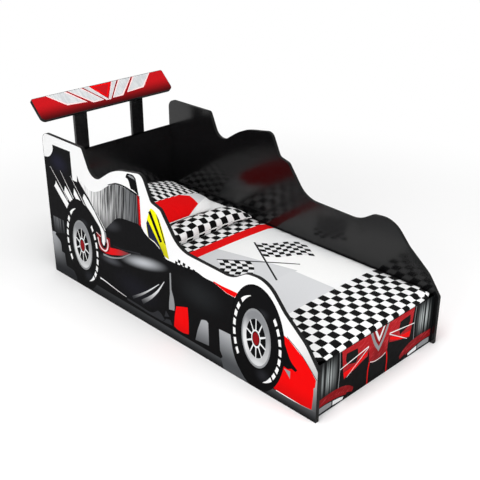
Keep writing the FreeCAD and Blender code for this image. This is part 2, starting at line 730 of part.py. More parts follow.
def pillow(label, start, depth, rise, sink):
    """A stuffed pillow: arcs above and below the seam, thin at both ends, with drawn-in sides."""
    seam = (quilt_top + soft_gap + sink).value
    middle = (start + depth / 2).value
    half_width, draw, tip = pillow_width.value / 2, pillow_draw.value, pillow_tip.value
    sections = []
    for share in PILLOW_SECTIONS:
        fullness = math.sqrt(1 - abs(share) ** PILLOW_FULLNESS)
        half_depth = depth.value / 2 - draw * (1 - share ** 2)
        y = half_width * share
        tail, nose = V(middle - half_depth, y, seam), V(middle + half_depth, y, seam)
        above = V(middle, y, seam + tip + (rise.value - tip) * fullness)
        below = V(middle, y, seam - tip - (sink.value - tip) * fullness)
        sections.append(Part.Wire([
            Part.Arc(tail, above, nose).toShape(),
            Part.Arc(nose, below, tail).toShape(),
        ]))
    shape = Part.makeLoft(sections, True)
    # Both ends pull in between their corners, along an upright round of a large radius.
    radius = (depth.value ** 2 / 4 + draw ** 2) / (2 * draw)
    height = (rise + sink).value * 2
    for side in (RIGHT, LEFT):
        axis = V(middle, (half_width - draw + radius) * side, seam - height / 2)
        shape = shape.cut(Part.makeCylinder(radius, height, axis))
    placed_feature(label, shape)


# ---------------------------------------------------------------- the bed

for side_name, side_sign in SIDES.items():
    side_panel(side_name, side_sign)
    wing_post(side_name, side_sign)
    wing_bracket(side_name, side_sign)
    side_rail(side_name, side_sign)
headboard()
end_board("front_panel")
wing_board()
for slat_number, slat_middle in enumerate(SLAT_MIDDLES, 1):
    slat(slat_number, slat_middle)
fittings()
screws()
mattress()
quilt()
head_pillow_start = board + head_pillow_gap
pillow("head_pillow", head_pillow_start, head_pillow_depth, head_pillow_rise, head_pillow_sink)
pillow("front_pillow", head_pillow_start + head_pillow_depth + pillow_spacing, front_pillow_depth,
       front_pillow_rise, front_pillow_sink)
doc.recompute()

for thing in doc.Objects:
    if "Invalid" in thing.State or "Error" in thing.State:
        raise RuntimeError(f"{thing.Label} failed: {thing.State}")
# The turned pieces that are only copied into groups are not nodes themselves.
nodes = [
    thing for thing in doc.Objects
    if thing.TypeId in ("PartDesign::Body", "Part::Feature") and not thing.Label.endswith("_pattern")
]
for node in nodes:
    if node.Shape.isNull() or not node.Shape.isValid():
        raise RuntimeError(f"{node.Label} has no valid shape")

os.makedirs("parts", exist_ok=True)
for node in nodes:
    node.Shape.exportStep(os.path.join("parts", f"{node.Label}.step"))
print(f"{len(nodes)} parts written")
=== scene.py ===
import json
import math

import bmesh
import bpy
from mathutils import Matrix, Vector, noise
from mathutils.geometry import delaunay_2d_cdt


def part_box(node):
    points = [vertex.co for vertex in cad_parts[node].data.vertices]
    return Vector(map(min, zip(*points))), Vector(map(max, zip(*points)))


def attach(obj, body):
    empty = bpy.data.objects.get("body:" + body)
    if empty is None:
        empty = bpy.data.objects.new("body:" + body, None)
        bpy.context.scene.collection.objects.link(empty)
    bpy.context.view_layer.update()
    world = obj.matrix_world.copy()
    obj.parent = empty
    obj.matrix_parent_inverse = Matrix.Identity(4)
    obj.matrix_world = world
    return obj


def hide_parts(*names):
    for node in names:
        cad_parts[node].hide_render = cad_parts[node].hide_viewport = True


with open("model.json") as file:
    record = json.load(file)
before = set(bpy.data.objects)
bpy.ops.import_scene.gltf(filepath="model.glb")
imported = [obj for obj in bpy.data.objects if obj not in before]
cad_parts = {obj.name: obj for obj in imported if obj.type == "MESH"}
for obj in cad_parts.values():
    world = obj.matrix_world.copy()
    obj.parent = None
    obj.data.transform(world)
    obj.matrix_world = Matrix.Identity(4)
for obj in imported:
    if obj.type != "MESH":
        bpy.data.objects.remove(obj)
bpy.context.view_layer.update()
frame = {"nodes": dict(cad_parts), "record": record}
nodes = frame["nodes"]
scene = bpy.context.scene

MM = 0.001
EVERYWHERE = 1e3
side_low, side_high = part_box("side_panel_right")
front_low, front_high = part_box("front_panel")
mattress_low, mattress_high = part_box("mattress")
quilt_low, quilt_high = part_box("quilt")
TAIL, OUTER = side_low.x, -side_low.y
LENGTH = side_high.x - TAIL


# ---- node materials
def ink(code):
    """Linear colour of a written sRGB colour such as 'e8141c'."""
    values = [int(code[i : i + 2], 16) / 255 for i in (0, 2, 4)]
    return (*(v / 12.92 if v <= 0.04045 else ((v + 0.055) / 1.055) ** 2.4 for v in values), 1.0)


class Nodes:
    """Adds nodes to a tree. Its methods return their output sockets."""

    def __init__(self, tree):
        self.tree = tree

    def node(self, kind, *values, out=0, **settings):
        made = self.tree.nodes.new("ShaderNode" + kind)
        for key, value in settings.items():
            setattr(made, key, value)
        for socket, value in zip(made.inputs, values):
            self.feed(socket, value)
        return made.outputs[out]

    def feed(self, socket, value):
        if isinstance(value, bpy.types.NodeSocket):
            self.tree.links.new(value, socket)
        elif value is not None:
            socket.default_value = value

    def split(self, vector):
        made = self.tree.nodes.new("ShaderNodeSeparateXYZ")
        self.feed(made.inputs[0], vector)
        return made.outputs

    def math(self, operation, *values, clamp=False):
        return self.node("Math", *values, operation=operation, use_clamp=clamp)

    def plus(self, one, two):
        return self.math("ADD", one, two)

    def minus(self, one, two):
        return self.math("SUBTRACT", one, two)

    def times(self, one, two):
        return self.math("MULTIPLY", one, two)

    def mix(self, share, low, high):
        made = self.tree.nodes.new("ShaderNodeMix")
        made.data_type = "RGBA"
        for index, value in ((0, share), (6, low), (7, high)):
            self.feed(made.inputs[index], value)
        return made.outputs[2]

    def ramp(self, value, low, high, start=0.0, end=1.0):
        return self.node("MapRange", value, low, high, start, end, interpolation_type="SMOOTHSTEP")

    def fade(self, value, low, high, first, last):
        """Runs from the first ink to the last one while the value goes from low to high."""
        return self.mix(self.ramp(value, low, high), ink(first), ink(last))

    def within(self, value, low, high, soft=0.0006):
        rise = self.ramp(value, low - soft, low + soft)
        fall = self.ramp(value, high - soft, high + soft, 1.0, 0.0)
        return self.times(rise, fall)


class Paint(Nodes):
    """One node material."""

    def __init__(self, name, **constants):
        self.material = bpy.data.materials.new(name)
        self.material.use_nodes = True
        super().__init__(self.material.node_tree)
        self.shader = self.tree.nodes["Principled BSDF"]
        for socket, value in constants.items():
            self.shader.inputs[socket.replace("_", " ")].default_value = value
        self.at = self.node("TexCoord", out=3)
        self.x, self.y, self.z = self.split(self.at)

    def give(self, socket, value):
        self.feed(self.shader.inputs[socket], value)

    def placed(self, place=(0, 0, 0), turn=(0, 0, 0), size=(1, 1, 1), vector=None):
        return self.node("Mapping", vector or self.at, place, turn, size, vector_type="TEXTURE")

    def noise(self, scale, detail=2.0, vector=None, rough=0.5):
        return self.node("TexNoise", vector or self.at, None, scale, detail, rough)

    def streaks(self, size, turn=(0, 0, 0), detail=3.0, rough=0.5):
        """Noise drawn out by its size along the axes."""
        return self.noise(1.0, detail, self.placed(turn=turn, size=size), rough)

    def glow(self, colour, light, s, z, length, height, turn=0.0, strength=1.0):
        """A soft printed highlight round (s, z) in mm on a side panel."""
        size = (length * MM, EVERYWHERE, height * MM)
        local = self.placed((TAIL + s * MM, 0, z * MM), (0, math.radians(-turn), 0), size)
        away = self.node("VectorMath", local, out=1, operation="LENGTH")
        near = self.math("SUBTRACT", 1.0, away, clamp=True)
        share = self.times(self.ramp(near, 0, 1), strength)
        return self.mix(share, colour, light)

    def bump(self, height, strength, distance):
        made = self.tree.nodes.new("ShaderNodeBump")
        for socket, value in (("Strength", strength), ("Distance", distance), ("Height", height)):
            self.feed(made.inputs[socket], value)
        self.give("Normal", made.outputs[0])

    def finish(self, colour, speckle=0.05, scale=700.0):
        """Gives the colour a slight uneven tone, which every real surface has."""
        tone = self.ramp(self.noise(scale), 0.3, 0.7, 1 - speckle, 1 + speckle)
        toned = self.node("VectorMath", colour, None, None, tone, operation="SCALE")
        self.give("Base Color", toned)
        return self.material


def film(name, paint):
    """Satin printed film over the board: faint roller texture and uneven gloss."""
    p = Paint(name, Specular_IOR_Level=0.02)
    p.give("Roughness", p.ramp(p.noise(60.0), 0.3, 0.7, 0.34, 0.46))
    p.bump(p.noise(900.0), 0.06, 0.0004)
    return p.finish(paint(p), 0.025, 500.0)


def plain(code, dark=None, axis="z", low=0.0, high=0.5):
    """One printed colour that may run to a second one along an axis."""
    def paint(p):
        if dark is None:
            return p.mix(p.ramp(p.noise(9.0), 0.35, 0.65, 0.0, 0.06), ink(code), ink("101010"))
        return p.fade(getattr(p, axis), low, high, dark, code)
    return paint


def side_white(p):
    ahead = p.ramp(p.x, TAIL + 1.45, TAIL + 1.6)
    down = p.ramp(p.z, 0.02, 0.33, 1.0, 0.1)
    share = p.times(ahead, down)
    return p.mix(share, ink("f4f4f4"), ink("4a4c4e"))


def side_body(p):
    colour = p.fade(p.z, 0.03, 0.5, "070708", "0e0e10")
    glows = (
        (670, 282, 175, 36, 12, "c6c9ce", 0.85),
        (470, 380, 90, 36, 14, "4a4b50", 0.5),
        (610, 140, 210, 90, 0, "16161e", 0.8),
        (1010, 270, 170, 90, 0, "1f2123", 0.85),
        (110, 560, 90, 60, 0, "1e1e30", 0.8),
        (450, 212, 95, 26, 5, "6a6c72", 0.45),
    )
    for s, z, length, height, turn, code, strength in glows:
        colour = p.glow(colour, ink(code), s, z, length, height, turn, strength)
    return colour


def side_brushed(p):
    streaks = p.streaks((0.006, 1, 0.16), (0, math.radians(8), 0))
    tone = p.ramp(streaks, 0.36, 0.62)
    dark = p.fade(p.x, TAIL + 0.27, TAIL + 0.43, "e6e6e6", "1e1e20")
    light = p.fade(p.x, TAIL + 0.30, TAIL + 0.66, "f4f4f4", "5a5c5f")
    colour = p.mix(tone, dark, light)
    return p.mix(p.ramp(p.z, 0.34, 0.47, 0.75, 0.0), colour, ink("1b1b1d"))


def side_ground(p):
    high = p.fade(p.x, TAIL, TAIL + 0.13, "a2a4a7", "56585b")
    return p.mix(p.ramp(p.z, 0.02, 0.19), ink("242528"), high)


def side_vent(p):
    streaks = p.streaks((0.007, 1, 0.3))
    streaked = p.fade(streaks, 0.4, 0.6, "222325", "66686b")
    return p.mix(p.ramp(p.z, 0.2, 0.29), ink("1c1d1f"), streaked)


def side_skirt(p):
    along = p.fade(p.x, TAIL + 0.2, TAIL + 1.6, "2c2d2f", "4c4e50")
    return p.mix(p.ramp(p.z, 0.0, 0.05), ink("17181a"), along)


def rubber(p):
    colour = p.fade(p.z, 0.05, 0.38, "050506", "0b0b0d")
    for centre in (241, 1313):
        colour = p.glow(colour, ink("34353a"), centre + 12, 318, 60, 30, 20, 0.8)
        colour = p.glow(colour, ink("2a2b30"), centre + 30, 70, 50, 40, 20, 0.6)
    return colour


def rim(p):
    colour = p.fade(p.z, 0.1, 0.31, "c4c5c6", "85878a")
    for centre in (241, 1309):
        colour = p.glow(colour, ink("ececec"), centre - 52, 190, 40, 110, 0, 0.9)
        colour = p.glow(colour, ink("d8d9da"), centre + 10, 108, 60, 26, 0, 0.9)
    return colour


def tread(p):
    bands = p.streaks((1, 0.012, 2.0))
    grey = p.fade(bands, 0.45, 0.62, "08090a", "5a6264")
    away = p.math("ABSOLUTE", p.y)
    lit = p.within(away, 0.262, 0.318, 0.03)
    high = p.within(p.z, 0.10, 0.185, 0.04)
    dim = p.fade(bands, 0.4, 0.6, "08090a", "1a1c1d")
    bright = p.mix(p.ramp(bands, 0.4, 0.6), grey, ink("c9d0d0"))
    return p.mix(p.times(lit, high), dim, bright)


def nose_red(p):
    away = p.math("ABSOLUTE", p.y)
    colour = p.fade(p.z, 0.03, 0.2, "7e0f14", "b01a20")
    streaks = p.streaks((1, 0.03, 0.006), (math.radians(25), 0, 0))
    colour = p.mix(p.ramp(streaks, 0.5, 0.7, 0.0, 0.5), colour, ink("d8474c"))
    return p.mix(p.ramp(away, 0.02, 0.05, 0.4, 0.0), colour, ink("5c0d10"))


def wing_pale(p):
    streak = p.streaks((0.05, 0.01, 0.05), detail=2.0)
    return p.fade(streak, 0.35, 0.65, "bfc2c4", "cfd1d2")


PRINTS = {
    "white": side_white,
    "body": side_body,
    "black": plain("050506"),
    "red": plain("ee0406", "c40608", "z", 0.0, 0.12),
    "deep": plain("8c1016"),
    "grey": plain("b0b2b5", "4b4d50", "z", 0.03, 0.2),
    "skirt": side_skirt,
    "fin": plain("6e3c40", "e21218", "x", TAIL + 0.46, TAIL + 0.59),
    "swoosh": plain("dcdddf", "2c2d30", "z", 0.085, 0.19),
    "vent": side_vent,
    "smoke": plain("2d2e31"),
    "ground": side_ground,
    "brushed": side_brushed,
    "light": plain("e9eaeb"),
    "clean": plain("f6f6f6"),
    "steel": plain("8f9193"),
    "yellow": plain("f4f00c", "c8c21a", "z", 0.38, 0.46),
    "navy": plain("1b1f3c"),
    "tyre": rubber,
    "rim": rim,
    "tread": tread,
    "nose": nose_red,
    "pane": plain("0c0d0e"),
    "wing": plain("b9151b", "330a0c", "z", 0.722, 0.780),
    "pale": wing_pale,
    "blush": plain("f6d9d8"),
}
FILMS = {kind: film("film_" + kind, paint) for kind, paint in PRINTS.items()}


def laminate(name):
    """Black glossy laminate with a slight ripple, finer scuffs and dulled patches."""
    p = Paint(name, Specular_IOR_Level=0.4)
    dull = p.times(p.ramp(p.noise(7.0), 0.3, 0.7), p.ramp(p.noise(150.0), 0.35, 0.65))
    p.give("Roughness", p.ramp(dull, 0.0, 1.0, 0.16, 0.26))
    p.bump(p.noise(420.0), 0.05, 0.0006)
    colour = p.fade(p.noise(2.5), 0.35, 0.65, "0c0c0d", "141415")
    return p.finish(colour, 0.12, 300.0)


def timber(name, light, dark, along):
    """Planed softwood or beech: long grain along one axis, pores and end-to-end tone."""
    p = Paint(name, Specular_IOR_Level=0.3)
    size = [0.03, 0.03, 0.03]
    size[along] = 0.6
    grain = p.streaks(size, detail=5.0, rough=0.6)
    pores = p.streaks([v * 0.08 for v in size], detail=2.0)
    colour = p.fade(grain, 0.35, 0.65, light, dark)
    colour = p.mix(p.ramp(pores, 0.55, 0.75, 0.0, 0.35), colour, ink("7a5533"))
    p.give("Roughness", p.ramp(grain, 0.3, 0.7, 0.5, 0.68))
    p.bump(grain, 0.25, 0.0008)
    return p.finish(colour, 0.06, 90.0)


def steel(name):
    p = Paint(name, Metallic=1.0)
    brushed = p.streaks((0.004, 0.0004, 0.004))
    p.give("Roughness", p.ramp(brushed, 0.3, 0.7, 0.28, 0.45))
    p.bump(brushed, 0.1, 0.0002)
    colour = p.fade(p.noise(120.0), 0.35, 0.65, "b9bcc0", "d4d6d8")
    return p.finish(colour, 0.05)


LAMINATE = laminate("black_laminate")
SLAT_PINE = timber("pine_across", "e3bf8b", "c79a62", 1)
RAIL_PINE = timber("pine_along", "e3bf8b", "c79a62", 0)
BEECH = timber("beech", "d9ab7a", "bd8a58", 1)
ZINC = steel("zinc_plate")
FINISH_OF = {
    "printed_board": LAMINATE,
    "dark_board": LAMINATE,
    "pine": SLAT_PINE,
    "beech": BEECH,
    "zinc_steel": ZINC,
}
for part in frame["record"]["subparts"]:
    node, slot = part["node"], part["material_slot"]
    if slot in FINISH_OF:
        along_bed = slot == "pine" and "rail" in node
        nodes[node].data.materials.clear()
        nodes[node].data.materials.append(RAIL_PINE if along_bed else FINISH_OF[slot])


# ---- flat outlines
def smooth(points, spans=7):
    """Points of one smooth run through the given points, without its first point."""
    ends = [points[0] * 2 - points[1], *points, points[-1] * 2 - points[-2]]
    made = []
    for a, b, c, d in zip(ends, ends[1:], ends[2:], ends[3:]):
        for step in range(1, spans + 1):
            t = step / spans
            bow, twist = 2 * a - 5 * b + 4 * c - d, 3 * b - a - 3 * c + d
            made.append(0.5 * (2 * b + (c - a) * t + bow * t * t + twist * t**3))
    return made


def pairs(text):
    return [Vector(float(v) for v in pair.split(",")) for pair in text.split()]


def outline(text):
    """Closed outline in mm. Runs are parted by ';': a run of several points is a smooth curve."""
    made = []
    for run in text.split(";"):
        points = pairs(run)
        if made and len(points) > 1:
            points = smooth([made[-1], *points])
        made += points
    return made


def stroke(text, width, start=1.0, end=1.0):
    """A brushed line through the points, from start to end times the width."""
    points = pairs(text)
    line = [points[0], *smooth(points)]
    left, right = [], []
    for i, point in enumerate(line):
        along = (line[min(i + 1, len(line) - 1)] - line[max(i - 1, 0)]).normalized()
        across = Vector((-along.y, along.x)) * width / 2
        t = i / (len(line) - 1)
        across *= start + (end - start) * t
        left.append(point + across)
        right.append(point - across)
    return left + right[::-1]


def drawn(rows):
    """Regions from rows of (film, outline) or (film, line, width, share at start, share at end)."""
    return [(film, stroke(text, *width) if width else outline(text)) for film, text, *width in rows]


ON_FACE, SHARP = 2e-5, 0.3


def flat_outline(node, origin, across, up):
    """Outer edge of one flat face of a CAD node, in mm along across and up."""
    normal = across.cross(up)
    mesh = nodes[node].data
    count = {}
    where = {}
    for face in mesh.polygons:
        corners = [mesh.vertices[i].co - origin for i in face.vertices]
        if max(abs(c.dot(normal)) for c in corners) > ON_FACE:
            continue
        keys = []
        for corner in corners:
            place = Vector((corner.dot(across), corner.dot(up))) / MM
            key = (round(place.x, 2), round(place.y, 2))
            where[key] = place
            keys.append(key)
        for a, b in zip(keys, keys[1:] + keys[:1]):
            if a != b:
                count[frozenset((a, b))] = count.get(frozenset((a, b)), 0) + 1
    links = {}
    for edge, times in count.items():
        if times == 1:
            a, b = edge
            links.setdefault(a, []).append(b)
            links.setdefault(b, []).append(a)
    loops = []
    unused = dict(links)
    while unused:
        here = first = next(iter(sorted(unused)))
        before, loop = None, []
        while here in unused:
            loop.append(where[here])
            onward = [k for k in unused.pop(here) if k != before]
            before, here = here, next((k for k in onward if k in unused), first)
        loops.append(loop)
    return max(loops, key=lambda loop: max(p.x for p in loop) - min(p.x for p in loop))


def inset(loop, margin):
    """The outline moved inwards by margin."""
    side = 1 if area_of(loop) > 0 else -1
    made = []
    for before, here, after in zip(loop[-1:] + loop[:-1], loop, loop[1:] + loop[:1]):
        one, two = (here - before).normalized(), (after - here).normalized()
        first, second = Vector((-one.y, one.x)) * side, Vector((-two.y, two.x)) * side
        middle = (first + second) / 2
        made.append(here + middle * margin / max(middle.length_squared, SHARP))
    return made


def area_of(loop):
    return sum(a.x * b.y - b.x * a.y for a, b in zip(loop, loop[1:] + loop[:1])) / 2


def chart(edge, regions):
    """Cuts a flat outline by every region. Each tile gets the last region that covers it."""
    points, faces = [], []
    for shape in [edge, *(shape for _, shape in regions)]:
        shape = shape if area_of(shape) > 0 else shape[::-1]
        faces.append(list(range(len(points), len(points) + len(shape))))
        points += shape
    cut, _, tiles, _, _, owners = delaunay_2d_cdt(points, [], faces, 1, 1e-3)
    return cut, [(tile, max(owner)) for tile, owner in zip(tiles, owners) if 0 in owner]


def put(name, data):
    """A new object in the scene."""
    made = bpy.data.objects.new(name, data)
    scene.collection.objects.link(made)
    return made


def add_piece(bm, name, *materials):
    """A new object of the finished mesh."""
    mesh = bpy.data.meshes.new(name)
    bm.to_mesh(mesh)
    bm.free()
    for material in materials:
        mesh.materials.append(material)
    return put(name, mesh)


def on_plane(origin, across, up):
    """Puts flat points in mm on a plane of the bed."""
    return lambda p: origin + across * p.x * MM + up * p.y * MM


X, Y, Z = Vector((1, 0, 0)), Vector((0, 1, 0)), Vector((0, 0, 1))
LIFT, FILM_THICK = 0.00005, 0.0003


def lay_film(name, edge, base, regions, place, normal):
    """A printed film on a board, in one closed sheet with a material for every colour."""
    cut, tiles = chart(edge, regions)
    kinds = [base] + [kind for kind, _ in regions]
    names = sorted(set(kinds))
    bm = bmesh.new()
    corners = [bm.verts.new(place(p) + normal * LIFT) for p in cut]
    for tile, owner in tiles:
        face = bm.faces.new([corners[i] for i in tile])
        face.material_index = names.index(kinds[owner])
    bmesh.ops.delete(bm, geom=[v for v in bm.verts if not v.link_faces], context="VERTS")
    risen = bmesh.ops.extrude_face_region(bm, geom=bm.faces[:], use_keep_orig=True)["geom"]
    risen = [part for part in risen if isinstance(part, bmesh.types.BMVert)]
    bmesh.ops.translate(bm, verts=risen, vec=normal * FILM_THICK)
    bmesh.ops.recalc_face_normals(bm, faces=bm.faces[:])
    piece = add_piece(bm, name, *(FILMS[kind] for kind in names))
    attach(piece, "bed")


# ---- print of the side panels
RING_STEPS, ARC_STEP = 56, 6
DASH_RUNS, DASH_STEP, DASH = ((-46, 7), (139, 6)), 13.4, 9.2
SPOKES = 10


class Oval:
    """A leaning ellipse in mm."""

    def __init__(self, s, z, width, height, lean):
        self.s, self.z, self.width, self.height, self.lean = s, z, width, height, lean

    def point(self, radius, degrees):
        u, v = math.cos(math.radians(degrees)) * radius, math.sin(math.radians(degrees)) * radius
        return Vector((self.s + self.width * u + self.lean * v, self.z + self.height * v))

    def ring(self, radius=1.0):
        return [self.point(radius, step * 360 / RING_STEPS) for step in range(RING_STEPS)]

    def arc(self, inner, outer, start, end, taper=0.0):
        """A piece of a band between two radii, narrowed towards its end."""
        steps = max(3, int(abs(end - start) / ARC_STEP))
        angles = [start + (end - start) * i / steps for i in range(steps + 1)]
        middle = (inner + outer) / 2
        width = [(outer - inner) / 2 * (1 - taper * i / steps) for i in range(steps + 1)]
        outside = [self.point(middle + w, a) for w, a in zip(width, angles)]
        return outside + [self.point(middle - w, a) for w, a in zip(width, angles)][::-1]

    def ray(self, inner, outer, degrees, narrow, wide):
        corners = ((inner, -narrow), (outer, -wide), (outer, wide), (inner, narrow))
        return [self.point(radius, degrees + turn) for radius, turn in corners]


def wheel(tyre, band, disc):
    """Tyre with plain sidewall dashes, rim ring, ten spokes and hub."""
    shapes = [("black", tyre.ring(1.0)), ("tyre", tyre.ring(0.965))]
    for start, count in DASH_RUNS:
        for dash in range(count):
            at = start + dash * DASH_STEP
            shapes.append(("clean", band.arc(0.945, 1.055, at, at + DASH)))
    for start, end in ((131, 105), (-50, -73)):
        shapes.append(("clean", band.arc(0.95, 1.06, start, end, 0.9)))
    shapes += [("black", disc.ring(1.08)), ("steel", disc.ring(1.03)), ("rim", disc.ring(0.95))]
    shapes.append(("black", disc.ring(0.68)))
    for spoke in range(SPOKES):
        shapes.append(("light", disc.ray(0.25, 0.7, (spoke + 0.5) * 360 / SPOKES, 9, 2.2)))
    shapes += [("light", disc.ring(0.32)), ("black", disc.ring(0.26)), ("deep", disc.ring(0.22))]
    return shapes


def chequer_strip(start, count, rows, size, lean, fall):
    """Black squares of a leaning strip; what is between them stays as it was."""
    shapes = []
    for row in range(rows):
        for column in range(row % 2, count, 2):
            s = start[0] + column * size + row * lean
            z = start[1] + row * size - column * size * fall
            corners = ((0, 0), (size, -size * fall), (size + lean, size * (1 - fall)), (lean, size))
            shapes.append(("black", [Vector((s + a, z + b)) for a, b in corners]))
    return shapes


BODY = (
    "-5,-5; -5,562; 37,571 63,592 76,614 76,635; 209,637; 209,509; 243,509; 247,541; 258,515; "
    "295,481; 340,442; 425,349;"
    "531,434; 673,444; 690,424 720,408 758,397 800,372 818,353; 829,352; 900,356 989,364 1040,356 "
    "1089,356;"
    "1157,337; 1201,336; 1300,300; 1420,120; 1405,-5"
)
regions = drawn((
    ("body", BODY),
    ("ground", "-5,205; 5,202; 32,204; 26,191; 57,172 66,154 66,119; 89,116; 92,79; 98,56 128,54 "
     "157,48 169,31 175,-5; -5,-5"),
    ("vent", "23,285; 104,286; 107,257 104,222; 38,202; 23,208"),
    ("skirt", "190,-5; 262,40 300,46 420,44; 850,42; 1130,40; 1405,40; 1500,38 1605,44; 1605,-5"),
    ("black", "250,66 330,54 480,52 850,50", 10, 0.3, 1),
    ("smoke", "548,60; 548,70; 631,68; 706,66 753,94; 773,88; 794,69; 779,55; 700,54; 620,57"),
    ("smoke", "804,116; 825,95; 794,84"),
    ("smoke", "784,55; 804,77; 830,83; 842,61"),
    ("brushed", "258,515; 279,521 307,506 331,498 366,500 413,520 448,544 471,559; 510,575 531,580 "
     "587,580 660,573; 660,448; 531,434 470,392 425,349; 340,442"),
    ("body", "425,349; 470,392 531,434 660,448; 673,444; 650,400; 520,330"),
    ("black", "466,560 500,574 531,583 587,584 662,572", 9, 0.4, 1),
    ("black", "589,628; 600,646 622,650 640,650 654,640; 668,573; 640,585 618,588; 606,620 589,628"),
    ("steel", "604,640; 618,644 640,642 648,630; 640,634 620,636 604,640"),
    ("deep", "655,572; 673,573; 673,441; 657,445"),
    ("red", "664,560; 671,560; 671,450; 664,450"),
    ("deep", "354,310; 387,311; 452,314; 452,242; 406,233; 373,240 359,271 354,310"),
    ("fin", "448,272; 520,286 591,293; 529,264 452,239; 411,233; 440,250"),
    ("steel", "397,222 452,227 520,249 561,274 591,293", 9, 1, 0.3),
    ("smoke", "471,290 534,293 587,303 657,316", 9, 0.2, 0.8),
    ("black", "382,304; 386,275 396,257 412,255 424,268 428,290; 427,309"),
    ("blush", "365,293 373,263 390,246 413,244 429,258 436,283 432,304", 7.5),
    ("blush", "352,315 370,309 388,302", 4, 1, 0.6),
    ("steel", "401,350; 406,348; 425,331 428,309 426,285; 410,290"),
    ("clean", "75,468; 84,456; 170,378; 150,350; 58,440; 70,452"),
    ("clean", "145,463; 162,452; 205,405; 185,385; 135,434"),
    ("clean", "214,473; 231,456; 272,410; 240,408; 208,442"),
    ("clean", "287,468; 301,460; 354,410; 401,350; 413,333 416,305 414,280 409,268 401,268 394,278; "
     "394,322; 384,346; 331,392; 295,418; 276,445"),
))
for line in (
    "40,528 70,497 114,451 159,399",
    "118,527 159,477 203,422",
    "193,524 240,469 288,413",
    "276,512 348,430 424,342",
):
    regions += drawn((("clean", line, 6, 0.25, 1), ("black", line, 1.6, 0.0, 1)))
regions += drawn((
    ("light", "359,94 389,92 464,81 543,72", 8, 1, 0.3),
    ("swoosh", "768,221 706,170 652,130 587,88", 13, 0.2, 1),
    ("swoosh", "802,246 758,186 711,139 652,93", 20, 0.15, 1),
    ("steel", "837,299; 845,301; 844,229; 855,196 860,165 858,137; 825,130; 827,163; 834,205"),
    ("red", "870,163; 939,186; 942,120 941,65; 915,58 890,57 870,58 852,65; 860,121"),
    ("grey", "980,58; 994,108 1016,163; 1025,168; 1045,172 1056,166; 1058,66"),
    ("grey", "1116,167; 1177,170; 1191,102 1217,51 1250,27; 1270,-5; 1140,-5; 1130,31; 1123,38; "
     "1134,51; 1120,75"),
    ("red", "1089,360; 1130,358 1170,359 1215,360; 1201,337; 1157,338; 1089,356"),
    ("red", "1425,290; 1464,280; 1500,257 1547,226 1593,174; 1590,143; 1584,139; 1584,110; 1579,46; "
     "1535,41; 1403,43; 1380,60; 1420,150"),
    ("black", "1440,262; 1449,251; 1476,199 1508,174; 1500,163; 1482,168; 1464,158; 1430,163"),
    ("steel", "1446,152; 1476,154; 1476,123; 1464,136"),
    ("black", "1456,287 1527,243 1597,176", 3),
    ("yellow", "718,504; 738,540 768,532 790,505; 812,452 826,400 838,358; 812,362 786,385 752,404; "
     "716,410; 706,450 710,480 718,504"),
    ("black", "722,520; 736,532; 800,420; 786,412"),
    ("navy", "706,470; 716,486; 806,370; 796,368 780,388 752,404 716,410"),
    ("black", "768,530; 784,512; 822,414; 812,420"),
))
regions += chequer_strip((872, 352), 8, 2, 14, 3, 0.12)
WHEELS = (
    (Oval(241, 211, 131, 217, 0), Oval(241, 210, 110.5, 172, 0), Oval(241, 210, 69.7, 116, 2)),
    (Oval(1313, 212, 137, 218, 3), Oval(1312, 208.5, 114.5, 174, 0), Oval(1308.5, 211.5, 71.3, 118.3, 0)),
)
for tyre, band, disc in WHEELS:
    regions += wheel(tyre, band, disc)

EDGE_SHOWN, FRONT_EDGE_SHOWN = 1.2, 0.8
for side, name in ((-1, "right"), (1, "left")):
    origin = Vector((TAIL, side * OUTER, 0))
    edge = inset(flat_outline("side_panel_" + name, origin, X, Z), EDGE_SHOWN)
    lay_film("side_print_" + name, edge, "white", regions, on_plane(origin, X, Z), Y * side)


# ---- edge banding of the boards
def banding_finish():
    """Matt black edging, a little polished where hands rub it."""
    p = Paint("edge_banding", Specular_IOR_Level=0.12)
    p.give("Roughness", p.ramp(p.noise(35.0), 0.35, 0.65, 0.5, 0.7))
    p.bump(p.noise(1300.0), 0.1, 0.0003)
    return p.finish(p.fade(p.noise(12.0), 0.4, 0.7, "0a0a0a", "131313"), 0.1)


BANDING = banding_finish()
BAND_THICK, BAND_PROUD = 0.3, 0.48


def edge_band(name, loop, place, normal, depth, closed=True):
    """A thin strip glued round the cut edge of a board; loop is in mm, on the board's outer face."""
    if area_of(loop) < 0:
        loop = loop[::-1]
    near, far = inset(loop, -LIFT / MM), inset(loop, -LIFT / MM - BAND_THICK)
    bm = bmesh.new()
    front, back = normal * (BAND_PROUD * MM), -normal * depth
    corners = ((near, front), (far, front), (far, back), (near, back))
    rings = [[bm.verts.new(place(p) + push) for p in ring] for ring, push in corners]
    count = len(loop)
    for i in range(count if closed else count - 1):
        j = (i + 1) % count
        for one, two in zip(rings, rings[1:] + rings[:1]):
            bm.faces.new([one[i], one[j], two[j], two[i]])
    if not closed:
        bm.faces.new([ring[0] for ring in rings])
        bm.faces.new([ring[-1] for ring in rings][::-1])
    bmesh.ops.recalc_face_normals(bm, faces=bm.faces[:])
    piece = add_piece(bm, name, BANDING)
    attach(piece, "bed")


